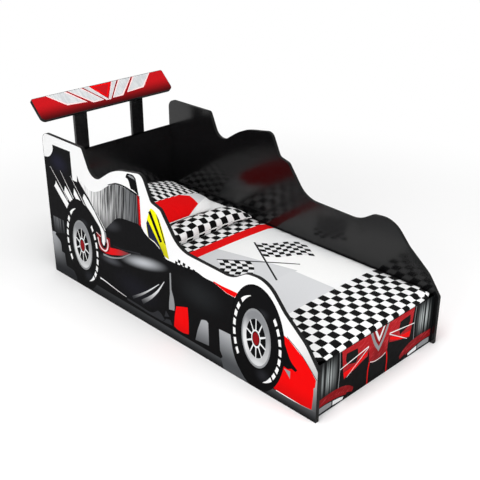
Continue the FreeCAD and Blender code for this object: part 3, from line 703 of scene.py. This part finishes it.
BOARD = 0.015
PRESSED = 0.001  # the posts stand against the headboard, so their bands stay flat
for side, name in ((-1, "right"), (1, "left")):
    origin = Vector((TAIL, side * OUTER, 0))
    loop = flat_outline("side_panel_" + name, origin, X, Z)
    edge_band("edge_band_" + name, loop, on_plane(origin, X, Z), Y * side, BOARD)
for name in ("right", "left"):
    origin = Vector((TAIL, 0, 0))
    loop = flat_outline("wing_post_" + name, origin, Y, Z)
    edge_band("post_band_" + name, loop, on_plane(origin, Y, Z), X * PRESSED, BOARD)
for node, name, ahead in (("headboard", "head_band", -1), ("front_panel", "front_band", 1)):
    low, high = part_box(node)
    face = Vector((high.x if ahead > 0 else low.x, 0, 0))
    line = [Vector((y, high.z / MM)) for y in (high.y / MM - 1, low.y / MM + 1)]
    edge_band(name, line, on_plane(face, Y, Z), X * ahead, BOARD, closed=False)


# ---- print of the front panel
def mirrored(kind, shape):
    return [(kind, shape), (kind, [Vector((-p.x, p.y)) for p in shape])]


front = []
for kind, shape in drawn((
    ("tread", "-351,-5; -351,220; -240,220; -238,150 -242,90 -244,40; -244,-5"),
    ("steel", "-229,218 -225,150 -228,80 -230,50", 3),
    ("black", "-236,218 -233,150 -235,60", 5),
    ("nose", "-217,218; -68,218; -62,150; -66,128; -120,112; -199,92; -206,130"),
    ("pane", "-191,196; -140,192 -128,189; -124,160 -133,132; -160,140 -183,148; -194,170 -191,196"),
    ("red", "-203,120; -130,128 -70,150; -68,138; -130,112 -198,96"),
    ("nose", "-140,30; -170,52 -215,66 -270,70 -345,66; -345,40; -280,46 -220,40 -180,26; -146,14"),
    ("deep", "-345,44; -280,46 -220,40 -180,26; -180,18; -230,30 -290,36 -345,34"),
    ("steel", "-340,30; -300,32 -262,28; -262,10; -340,8"),
    ("light", "-256,27; -220,22 -196,16; -200,6; -256,9"),
    ("clean", "-224,144 -61,168", 5, 0.7, 1),
    ("light", "-183,92 -120,130 -61,165", 3.6, 0.6, 1),
    ("red", "-50,104 -58,60 -58,-4", 6),
)):
    front += mirrored(kind, shape)
front += drawn((
    ("nose", "-72,220; 72,220; 60,150 54,96; 36,84 0,80 -36,84; -54,96; -60,150 -72,220"),
    ("steel", "-58,220; 58,220; 30,160 0,118; -30,160 -58,220"),
    ("deep", "-44,220; 44,220; 22,172 0,140; -22,172 -44,220"),
    ("light", "-32,220; 32,220; 14,184 0,160; -14,184 -32,220"),
    ("nose", "-22,220; 22,220; 9,196 0,180; -9,196 -22,220"),
    ("pane", "-46,88; -20,80 20,80 46,88; 40,20; -40,20"),
    ("light", "-46,92 -20,84 20,84 46,92", 3),
))
front_origin = Vector((front_high.x, 0, 0))
front_edge = inset(flat_outline("front_panel", front_origin, Y, Z), FRONT_EDGE_SHOWN)
lay_film("front_print", front_edge, "black", front, on_plane(front_origin, Y, Z), X)

# ---- print of the wing
WING_LEAN, WING_RISE = 0.7242, 0.6896
wing_up, wing_normal = Vector((-WING_LEAN, 0, WING_RISE)), Vector((WING_RISE, 0, WING_LEAN))
wing_data = nodes["wing_board"].data
wing_reach = max(v.co.dot(wing_normal) for v in wing_data.vertices)
wing_foot = min(v.co.dot(wing_up) for v in wing_data.vertices)
wing_origin = wing_normal * wing_reach + wing_up * wing_foot
wing = []
for border, shape in (
    (7, "-303,124; -199,124; -112,40; -214,46"),
    (6, "-190,124; -114,124; -22,30; -84,30"),
    (3, "-106,124; -72,124; 2,26; -14,26"),
):
    bright = outline(shape)
    wing += mirrored("blush", bright) + mirrored("pale", inset(bright, border))
for line in ("-194,126 -97,32", "-110,126 -16,26"):
    wing += mirrored("deep", stroke(line, 6))
wing += drawn((
    ("wing", "-70,124; 70,124; 0,30"),
    ("red", "-54,110; 54,110; 0,40"),
    ("wing", "-44,105; 44,105; 0,48"),
))
wing_shape = flat_outline("wing_board", wing_origin, Y, wing_up)
on_wing = on_plane(wing_origin, Y, wing_up)
lay_film("wing_print", inset(wing_shape, EDGE_SHOWN), "wing", wing, on_wing, wing_normal)
edge_band("wing_band", wing_shape, on_wing, wing_normal, BOARD)


# ---- soft pieces
RELIEF = 0.0014


def cloth_finish(name, paint, weave=5100.0):
    """Printed microfibre: fine weave, soft nap and slight creases."""
    p = Paint(name, Roughness=0.85, Specular_IOR_Level=0.08, Sheen_Weight=0.02, Sheen_Roughness=0.5)
    flat = p.node("UVMap", uv_map="pattern")
    u, v, _ = p.split(flat)
    colour = paint(p, u, v)
    warp, weft = (p.math("SINE", p.times(along, weave)) for along in (u, v))
    threads = p.times(p.plus(warp, weft), 0.12)
    creases = p.times(p.noise(9.0, 3.0), 2.0)
    p.bump(p.plus(threads, creases), 0.35, RELIEF)
    return p.finish(colour, 0.05, 1500.0)


def chequers(p, u, v, size, place=(0.0, 0.0), tall=1.0):
    """1 on black squares, 0 on white ones."""
    local = p.placed((*place, 0.0), size=(size * tall, size, 1), vector=p.node("CombineXYZ", u, v, 0.0))
    a, b, _ = p.split(local)
    total = p.plus(p.math("FLOOR", a), p.math("FLOOR", b))
    return p.math("FLOORED_MODULO", total, 2.0)


def flag(p, u, v, colour, top, foot, size, side):
    """A waving chequered flag, six squares by nine, on a pole from top to foot, in metres."""
    top, foot = Vector(top), Vector(foot)
    run = (foot - top).normalized()
    turn = math.atan2(run.y, run.x)
    local = p.placed((*top, 0.0), (0, 0, turn), vector=p.node("CombineXYZ", u, v, 0.0))
    a, b, _ = p.split(local)
    b = p.times(b, side)
    wave = p.times(p.math("SINE", p.times(b, 30.0)), 0.011)
    lean = p.minus(p.minus(a, wave), p.times(b, 0.2))
    cloth = p.times(p.within(lean, 0.002, size * 6), p.within(b, 0.0, size * 9))
    squares = chequers(p, lean, b, size)
    colour = p.mix(cloth, colour, p.mix(squares, ink("e9e9ea"), ink(CLOTH_BLACK)))
    pole = p.times(p.within(a, 0.0, (foot - top).length), p.within(b, -0.008, 0.0))
    return p.mix(pole, colour, ink("1b1b1c"))


CENTRE = TAIL + LENGTH / 2
SQUARE, SQUARE_STRETCH, REAR_SQUARE, FLAG_SQUARE = 0.0342, 1.12, 0.034, 0.0236
PATTERN_FROM, QUILT_SIDE = 0.503, 0.348
BAND_FROM, BAND_TO = CENTRE - 0.129, CENTRE - 0.072
CLOTH_RED, CLOTH_BLACK = "e40509", "050505"


def quilt_pattern(p, u, v):
    colour = p.fade(p.noise(1.6), 0.4, 0.6, "f6f6f5", "ecedee")
    shade = p.ramp(p.minus(p.times(u, 0.26), v), 0.0, 0.0012)
    near = p.times(shade, p.within(u, CENTRE - 0.073, CENTRE + 0.30))
    colour = p.mix(near, colour, ink("d3d4d6"))
    ahead = p.plus(v, p.times(p.minus(u, CENTRE + 0.30), -0.03))
    slope = p.minus(p.times(p.minus(u, CENTRE + 0.22), 0.9), ahead)
    corner = p.times(p.ramp(slope, 0.0, 0.0012), p.ramp(ahead, 0.0735, 0.0755, 1.0, 0.0))
    corner = p.times(corner, p.ramp(u, CENTRE + 0.285, CENTRE + 0.29))
    colour = p.mix(corner, colour, ink("d6d7d9"))
    rear = p.mix(chequers(p, u, v, REAR_SQUARE, (0.0, 0.01)), ink("ececec"), ink(CLOTH_BLACK))
    colour = p.mix(p.within(u, -0.8, BAND_FROM), colour, rear)
    colour = p.mix(p.within(u, BAND_FROM, BAND_TO), colour, ink(CLOTH_RED))
    first = CENTRE + PATTERN_FROM
    squares = chequers(p, u, v, SQUARE, (first, QUILT_SIDE), SQUARE_STRETCH)
    squares = p.mix(squares, ink("eeeeee"), ink(CLOTH_BLACK))
    colour = p.mix(p.ramp(u, first, first + 0.0008), colour, squares)
    colour = flag(p, u, v, colour, (CENTRE - 0.007, 0.154), (CENTRE + 0.30, -0.03), FLAG_SQUARE, 1)
    return flag(p, u, v, colour, (CENTRE, -0.082), (CENTRE + 0.272, 0.134), FLAG_SQUARE, -1)


def head_pattern(p, u, v):
    squares = p.mix(chequers(p, u, v, 0.019, tall=2.0), ink("ededed"), ink(CLOTH_BLACK))
    ahead = p.ramp(u, -0.452, -0.450)
    colour = p.mix(ahead, squares, ink("dcdddf"))
    far = p.plus(u, p.times(v, 0.55))
    colour = p.mix(p.times(ahead, p.ramp(far, -0.26, -0.258)), colour, ink("f3f3f3"))
    near = p.minus(u, p.times(v, 0.45))
    red = p.times(p.within(u, -0.452, -0.30), p.within(v, -0.33, 0.19))
    red = p.times(red, p.ramp(far, -0.262, -0.260, 1.0, 0.0))
    return p.mix(p.times(red, p.ramp(near, -0.52, -0.518)), colour, ink(CLOTH_RED))


def front_pattern(p, u, v):
    return p.mix(chequers(p, u, v, 0.036, (0.002, 0.004)), ink("efefef"), ink(CLOTH_BLACK))


def ticking(p, u, v):
    stripes = p.math("SINE", p.times(v, 260.0))
    return p.fade(stripes, 0.86, 0.97, "e6e4df", "b9bcc4")


def piping_white(p, u, v):
    return p.fade(p.noise(60.0), 0.3, 0.7, "f4f4f3", "dedede")


QUILT_CLOTH = cloth_finish("quilt_print", quilt_pattern)
HEAD_CLOTH = cloth_finish("head_pillow_print", head_pattern)
FRONT_CLOTH = cloth_finish("front_pillow_print", front_pattern)
TICKING = cloth_finish("ticking", ticking, 3300.0)
PIPING = cloth_finish("piping", piping_white, 2700.0)


def shell(name, columns, rows, place, material, flat=None):
    """Two grids of cloth, upper and lower, sewn along their edge.

    place(i, j, up) gives a point, and flat(i, j) its place on the print.
    """
    bm = bmesh.new()
    layer = bm.loops.layers.uv.new("pattern")
    grid = {}
    for up in (1, 0):
        for i in range(columns + 1):
            for j in range(rows + 1):
                sewn = up == 0 and (i in (0, columns) or j in (0, rows))
                grid[up, i, j] = grid[1, i, j] if sewn else bm.verts.new(place(i, j, up))
    for up in (1, 0):
        for i in range(columns):
            for j in range(rows):
                keys = [(i, j), (i + 1, j), (i + 1, j + 1), (i, j + 1)]
                keys = keys if up else keys[::-1]
                face = bm.faces.new([grid[up, a, b] for a, b in keys])
                face.smooth = True
                for loop, (a, b) in zip(face.loops, keys):
                    if flat:
                        loop[layer].uv = flat(a, b)
    bm.verts.index_update()
    index = {key: vertex.index for key, vertex in grid.items()}
    return add_piece(bm, name, material), index


def inflate(piece, pinned, pressure, grow, frames, cap, bend):
    """Cloth simulation of a sewn case under pressure. The mesh keeps its result, up to the cap."""
    mesh = piece.data
    rest = [v.co.copy() for v in mesh.vertices]
    group = piece.vertex_groups.new(name="pinned")
    for index, weight in pinned.items():
        group.add([index], weight, "REPLACE")
    modifier = piece.modifiers.new("cloth", "CLOTH")
    settings = {
        "quality": 6,
        "mass": 0.3,
        "tension_stiffness": 18,
        "compression_stiffness": 18,
        "shear_stiffness": 8,
        "bending_stiffness": bend,
        "shrink_min": -grow,
        "use_pressure": True,
        "uniform_pressure_force": pressure,
        "vertex_group_mass": "pinned",
    }
    for key, value in settings.items():
        setattr(modifier.settings, key, value)
    modifier.settings.effector_weights.gravity = 0
    modifier.collision_settings.use_collision = False
    modifier.point_cache.frame_start, modifier.point_cache.frame_end = 1, frames
    for step in range(1, frames + 1):
        scene.frame_set(step)
    graph = bpy.context.evaluated_depsgraph_get()
    moved = piece.evaluated_get(graph).data
    places = [v.co.copy() for v in moved.vertices]
    piece.modifiers.remove(modifier)
    piece.vertex_groups.clear()
    scene.frame_set(1)
    for vertex, before, after in zip(mesh.vertices, rest, places):
        shift = after - before
        if shift.length > cap:
            shift *= cap / shift.length
        vertex.co = before + shift


def clamp(piece, low, high):
    for vertex in piece.data.vertices:
        for axis in range(3):
            vertex.co[axis] = min(max(vertex.co[axis], low[axis]), high[axis])


def remap(piece, index, columns, rows, middle):
    """Lays the print along the cloth itself, so that squares keep their size where it swells."""
    mesh = piece.data
    spread = {}
    for up in (0, 1):
        for across in (0, 1):
            outer, inner = (rows, columns) if across == 0 else (columns, rows)
            for a in range(outer + 1):
                keys = [(up, b, a) if across == 0 else (up, a, b) for b in range(inner + 1)]
                line = [mesh.vertices[index[key]].co for key in keys]
                runs = [0.0]
                for before, after in zip(line, line[1:]):
                    runs.append(runs[-1] + (after - before).length)
                for key, run in zip(keys, runs):
                    spread.setdefault(key, [0, 0])[across] = middle[across] + run - runs[-1] / 2
    layer = mesh.uv_layers["pattern"]
    upper = columns * rows
    back = [{}, {}]
    for (up, i, j), number in index.items():
        back[up][number] = (up, i, j)
    for number, face in enumerate(mesh.polygons):
        side = back[1 if number < upper else 0]
        for loop in face.loop_indices:
            layer.data[loop].uv = spread[side[mesh.loops[loop].vertex_index]]


def refine(piece):
    modifier = piece.modifiers.new("finer", "SUBSURF")
    modifier.levels = modifier.render_levels = 1
    graph = bpy.context.evaluated_depsgraph_get()
    finer = piece.evaluated_get(graph)
    made = bpy.data.meshes.new_from_object(finer, preserve_all_data_layers=True, depsgraph=graph)
    piece.modifiers.remove(modifier)
    piece.data = made


TUBE_SIDES = 8


def tube(name, line, radius):
    """A round closed piping cord through the points."""
    count = len(line)
    bm = bmesh.new()
    layer = bm.loops.layers.uv.new("pattern")
    rings = []
    for i, point in enumerate(line):
        along = (line[(i + 1) % count] - line[i - 1]).normalized()
        across = along.cross(Z).normalized()
        over = across.cross(along)
        rings.append([
            bm.verts.new(point + (across * math.cos(a) + over * math.sin(a)) * radius)
            for a in (math.tau * k / TUBE_SIDES for k in range(TUBE_SIDES))
        ])
    for i, one in enumerate(rings):
        two = rings[(i + 1) % count]
        for k in range(TUBE_SIDES):
            after = (k + 1) % TUBE_SIDES
            face = bm.faces.new([one[k], one[after], two[after], two[k]])
            face.smooth = True
            for loop, uv in zip(face.loops, ((i, k), (i, k + 1), (i + 1, k + 1), (i + 1, k))):
                loop[layer].uv = (uv[0] * 0.01, uv[1] * 0.003)
    bmesh.ops.recalc_face_normals(bm, faces=bm.faces[:])
    return add_piece(bm, name, PIPING)


# quilt: upper and lower cloth with a thin filling, bent down over the front of the mattress;
# its upper cloth swells over the top of the front panel before it goes down behind it
QUILT_EDGE, QUILT_CROWN, BEND = 0.008, 0.010, 0.0403
# the roll: run ahead of the bend, swell over the panel, share of the thickness
ROLL = (
    (0.030, 0.0, 0.985),
    (0.0625, 0.0, 0.90),
    (0.0655, 0.012, 0.72),
    (0.0655, 0.0195, 0.42),
    (0.0655, 0.016, 0.14),
)
REST_GAP, SWELL_CAP, EDGE_CELLS = 0.0006, 0.023, 1.5
half_width = quilt_high.y
base = mattress_high.z + 0.0003
wall, sill = front_low.x - 0.001, front_high.z + REST_GAP
bend_x = mattress_high.x - BEND + 0.0003
flat_run = bend_x - quilt_low.x
flat_columns, roll_columns, drop_columns = 116, 16, 8
q_columns, q_rows = flat_columns + roll_columns + drop_columns, 58


def quilt_thickness(v):
    return QUILT_EDGE + QUILT_CROWN * (1 - v * v)


def along_line(points, count):
    """Points at equal steps along a line, both ends included."""
    lengths = [(after - before).length for before, after in zip(points, points[1:])]
    step, made, start, place = sum(lengths) / count, [points[0]], 0.0, 0
    for number in range(1, count):
        while step * number > start + lengths[place]:
            start += lengths[place]
            place += 1
        made.append(points[place].lerp(points[place + 1], (step * number - start) / lengths[place]))
    return made + [points[-1]]


def quilt_lines(v, reach):
    """The upper and the lower cloth as seen from the side, from the bend to the bottom edge."""
    thick = quilt_thickness(v)
    upper = [Vector((bend_x, base + thick))]
    upper += [Vector((bend_x + ahead + swell * reach, base + thick * high)) for ahead, swell, high in ROLL]
    upper += [Vector((wall + 0.007 * reach, sill)), Vector((wall, sill)), Vector((wall, sill - 0.006))]
    upper = [upper[0], *smooth(upper, 4)]
    angles = [math.pi / 2 * k / 12 for k in range(13)]
    lower = [Vector((bend_x + BEND * math.sin(a), base - BEND + BEND * math.cos(a))) for a in angles]
    lines = []
    for line in (upper, lower):
        drop = along_line([line[-1], Vector((line[-1].x, quilt_low.z))], drop_columns)
        lines.append(along_line(line, roll_columns)[:-1] + drop)
    return lines


def roll_reach(j):
    """The roll fades out over three rows beside the side panels."""
    return min(1.0, max(0.0, (min(j, q_rows - j) - 1) / 3))


quilt_sides = [quilt_lines(2 * j / q_rows - 1, roll_reach(j)) for j in range(q_rows + 1)]
middle_line = quilt_sides[q_rows // 2][0]
quilt_marks = [flat_run * i / flat_columns for i in range(flat_columns + 1)]
for before, after in zip(middle_line, middle_line[1:]):
    quilt_marks.append(quilt_marks[-1] + (after - before).length)


def quilt_place(i, j, up):
    v = 2 * j / q_rows - 1
    edge_fade = min(1.0, min(j, q_rows - j, i, q_columns - i) / EDGE_CELLS)
    share = 0.5 + (0.5 if up else -0.5) * math.sqrt(edge_fade)
    y = v * half_width
    if i <= flat_columns:
        return Vector((quilt_low.x + flat_run * i / flat_columns, y, base + quilt_thickness(v) * share))
    upper, lower = (line[i - flat_columns] for line in quilt_sides[j])
    at = lower.lerp(upper, share)
    return Vector((at.x, y, at.y))


def quilt_flat(i, j):
    return (quilt_low.x + quilt_marks[i], (2 * j / q_rows - 1) * half_width)


def keep_out(piece, wall, sill):
    """Nothing goes into the board in front of the wall and under the sill."""
    for vertex in piece.data.vertices:
        ahead, under = vertex.co.x - wall, sill - vertex.co.z
        if ahead > 0 and under > 0:
            if ahead < under:
                vertex.co.x = wall
            else:
                vertex.co.z = sill


quilt, index = shell("quilt_cover", q_columns, q_rows, quilt_place, QUILT_CLOTH, quilt_flat)
held = [key for key in index if key[0] == 0 or key[1] in (0, q_columns) or key[2] in (0, q_rows)]
pins = {index[key]: 1.0 for key in held}
inflate(quilt, pins, 1.2, 0.012, 14, 0.0045, 0.15)
quilt_most = (wall + SWELL_CAP, quilt_high.y + 0.002, quilt_high.z + 0.004)
clamp(quilt, quilt_low - Vector((0.002, 0.002, 0)), quilt_most)
keep_out(quilt, wall, sill)
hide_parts("quilt")
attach(quilt, "quilt")


PRESSURE, SEAM_PIN, CORD = 2.5, 0.85, 0.0024


def pillow(node, material, seam, rows, columns, rise, side, droop, lean, corner, draw, cap, grow):
    """A sewn pillow, swollen between its seams, that leans, droops and draws in its corners."""
    low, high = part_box(node)
    middle, half = (low + high) / 2, (high - low) / 2

    def place(i, j, up):
        u, v = 2 * i / columns - 1, 2 * j / rows - 1
        blunt = 1 - corner * (u * v) ** 4
        draw_u = (1 - draw / half.x * (1 - abs(v) ** 3) * u * u) * (1 + blunt) / 2
        draw_v = (1 - 0.014 / half.y * (1 - abs(u) ** 3) * v * v) * blunt
        leant = u + lean * (1 - u * u)
        swell = ((1 - abs(leant) ** 2.6) * (1 - abs(v) ** side)) ** rise
        sewn = seam - droop * abs(v) ** 3
        reach = (high.z if up else low.z) - sewn
        height = reach * min(1.0, swell if up else swell * 1.6)
        x, y = middle.x + u * half.x * draw_u, middle.y + v * half.y * draw_v
        return Vector((x, y, sewn + height * (1 + 0.04 * noise.noise(Vector((x, y, up)) * 9))))

    piece, index = shell(node + "_cover", columns, rows, place, material)
    rim = [number for (_, i, j), number in index.items() if i in (0, columns) or j in (0, rows)]
    pins = dict.fromkeys(rim, SEAM_PIN)
    inflate(piece, pins, PRESSURE, grow, 18, cap, 0.3)
    clamp(piece, (low.x - 0.002, low.y - 0.006, low.z), (high.x + 0.001, high.y + 0.006, high.z + 0.007))
    edge = [(i, 0) for i in range(columns)] + [(columns, j) for j in range(rows)]
    edge += [(i, rows) for i in range(columns, 0, -1)] + [(0, j) for j in range(rows, 0, -1)]
    line = [piece.data.vertices[index[1, i, j]].co.copy() for i, j in edge]
    remap(piece, index, columns, rows, middle)
    refine(piece)
    cord = tube(node + "_piping", line, CORD)
    for made in (piece, cord):
        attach(made, node)
    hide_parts(node)


pillow(
    "head_pillow", HEAD_CLOTH, seam=0.2669, rows=56, columns=36, rise=0.66, side=1.9, droop=0.022,
    lean=0.34, corner=0.03, draw=0.014, cap=0.010, grow=0.03,
)
pillow(
    "front_pillow", FRONT_CLOTH, seam=0.2609, rows=60, columns=18, rise=0.82, side=3.2, droop=0.008,
    lean=-0.08, corner=0.07, draw=0.02, cap=0.006, grow=0.04,
)


NOSE, ROUND, FOAM_CUTS = 0.04, 0.016, 47


def mattress():
    """Foam core in ticking, with rounded edges and a rounder upper edge at the front."""
    low, high = mattress_low, mattress_high
    bm = bmesh.new()
    layer = bm.loops.layers.uv.new("pattern")
    bmesh.ops.create_cube(bm, size=2.0)
    bmesh.ops.subdivide_edges(bm, edges=bm.edges[:], cuts=FOAM_CUTS, use_grid_fill=True)
    size = high - low
    for vertex in bm.verts:
        share = [*(math.sin(v * math.pi / 2) for v in vertex.co[:2]), vertex.co.z]
        vertex.co = [low[a] + size[a] * (share[a] * 0.5 + 0.5) for a in range(3)]
        at = vertex.co.copy()
        nose = at.x > high.x - NOSE and at.z > high.z - NOSE
        if nose:
            off = Vector((at.x - high.x + NOSE, 0, at.z - high.z + NOSE))
            if max(off.x, off.z) > 0:
                off = off.normalized() * max(off.x, off.z)
            at = Vector((high.x - NOSE + off.x, at.y, high.z - NOSE + off.z))
            inner = Vector((at.x, min(max(at.y, low.y + ROUND), high.y - ROUND), at.z))
            depth = NOSE - max(0.0, off.length)
            away = abs(at.y - inner.y)
            if depth < ROUND and away:
                flat = Vector((off.x, 0, off.z)).normalized()
                reach = Vector((away, ROUND - depth)).length
                scale = max(away, ROUND - depth) / max(reach, 1e-9)
                at += flat * ((ROUND - depth) * (scale - 1))
                at.y = inner.y + (at.y - inner.y) * scale
        else:
            inner = Vector(min(max(at[a], low[a] + ROUND), high[a] - ROUND) for a in range(3))
            off = at - inner
            if off.length > 0:
                at = inner + off.normalized() * max(abs(off.x), abs(off.y), abs(off.z))
        vertex.co = at
    for face in bm.faces:
        face.smooth = True
        for loop in face.loops:
            co = loop.vert.co
            flat = (co.x, co.y) if abs(face.normal.z) > 0.6 else (co.x + co.y, co.z)
            loop[layer].uv = flat
    return add_piece(bm, "mattress_cover", TICKING)


bed_foam = mattress()
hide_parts("mattress")
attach(bed_foam, "mattress")


# piping round the mattress, just inside the rounding of its lower edge
WELT_UP, WELT_IN, WELT_TURN, WELT_RADIUS = 0.0045, 0.0048, 0.02, 0.0022
inward = Vector((WELT_IN + WELT_TURN, WELT_IN + WELT_TURN, 0))
low, high = mattress_low + inward, mattress_high - inward
line = []
for x, y, start in ((high.x, high.y, 0), (low.x, high.y, 90), (low.x, low.y, 180), (high.x, low.y, 270)):
    for step in range(7):
        a = math.radians(start + step * 15)
        turn = Vector((math.cos(a), math.sin(a), 0)) * WELT_TURN
        line.append(Vector((x, y, mattress_low.z + WELT_UP)) + turn)
cord = tube("mattress_piping_low", line, WELT_RADIUS)
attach(cord, "mattress")


# ---- room, light and camera
WHITE = (1, 1, 1, 1)


def seen(p):
    """1 for camera, glossy and transmission rays."""
    path = p.tree.nodes.new("ShaderNodeLightPath").outputs
    either = p.math("MAXIMUM", path["Is Camera Ray"], path["Is Glossy Ray"])
    return p.math("MAXIMUM", either, path["Is Transmission Ray"])


REACH, UNDER = 14.0, 0.0005
corners = [(-REACH, -REACH, 0), (REACH, -REACH, 0), (REACH, REACH, 0), (-REACH, REACH, 0)]
floor_mesh = bpy.data.meshes.new("floor")
floor_mesh.from_pydata(corners, [], [(0, 1, 2, 3)])
floor = put("floor", floor_mesh)
floor.location.z = -UNDER
p = Paint("floor", Roughness=0.9, Specular_IOR_Level=0.0)
p.give("Base Color", p.mix(seen(p), (0.72, 0.72, 0.72, 1), (0.985, 0.985, 0.985, 1)))
flat = p.node("VectorMath", p.at, (1, 1, 0), operation="MULTIPLY")
away = p.node("VectorMath", flat, out=1, operation="LENGTH")
far = p.times(seen(p), p.ramp(away, 0.9, 2.6))
blend = p.node("MixShader", far, p.shader.outputs[0], p.node("Emission", WHITE, 1.0))
p.feed(p.tree.nodes["Material Output"].inputs["Surface"], blend)
floor_mesh.materials.append(p.material)

world = bpy.data.worlds.new("studio")
scene.world = world
world.use_nodes = True
sky = Nodes(world.node_tree)
background = sky.tree.nodes["Background"]
background.inputs["Color"].default_value = WHITE
sky.feed(background.inputs["Strength"], sky.node("MapRange", seen(sky), 0.0, 1.0, 0.56, 1.0))


def aim(thing, place, view):
    thing.location = place
    thing.rotation_mode = "QUATERNION"
    thing.rotation_quaternion = view.to_track_quat("-Z", "Y")


def softbox(name, place, target, size, power):
    data = bpy.data.lights.new(name, "AREA")
    data.shape = "DISK"
    data.size = size
    data.energy = power
    aim(put(name, data), place, Vector(target) - Vector(place))


softbox("key", (1.0, -4.2, 2.0), (0, 0, 0.3), 2.8, 74)
softbox("fill", (4.0, 0.8, 2.0), (0, 0, 0.3), 2.4, 50)
softbox("top", (0.5, -0.9, 4.3), (0, 0, 0.2), 2.4, 78)

# the photograph's viewing angle, fitted to the corners of the bed
LENS, SENSOR = 62.39, 36.0
YAW, PITCH = math.radians(45.466), math.radians(25.746)
camera_data = bpy.data.cameras.new("camera")
camera_data.sensor_width = SENSOR
camera_data.lens = LENS
camera = put("camera", camera_data)
level = math.cos(PITCH)
view = Vector((-math.sin(YAW) * level, math.cos(YAW) * level, -math.sin(PITCH)))
aim(camera, (2.3032, -2.1752, 1.819), view)
scene.camera = camera
scene.view_settings.view_transform = "Standard"
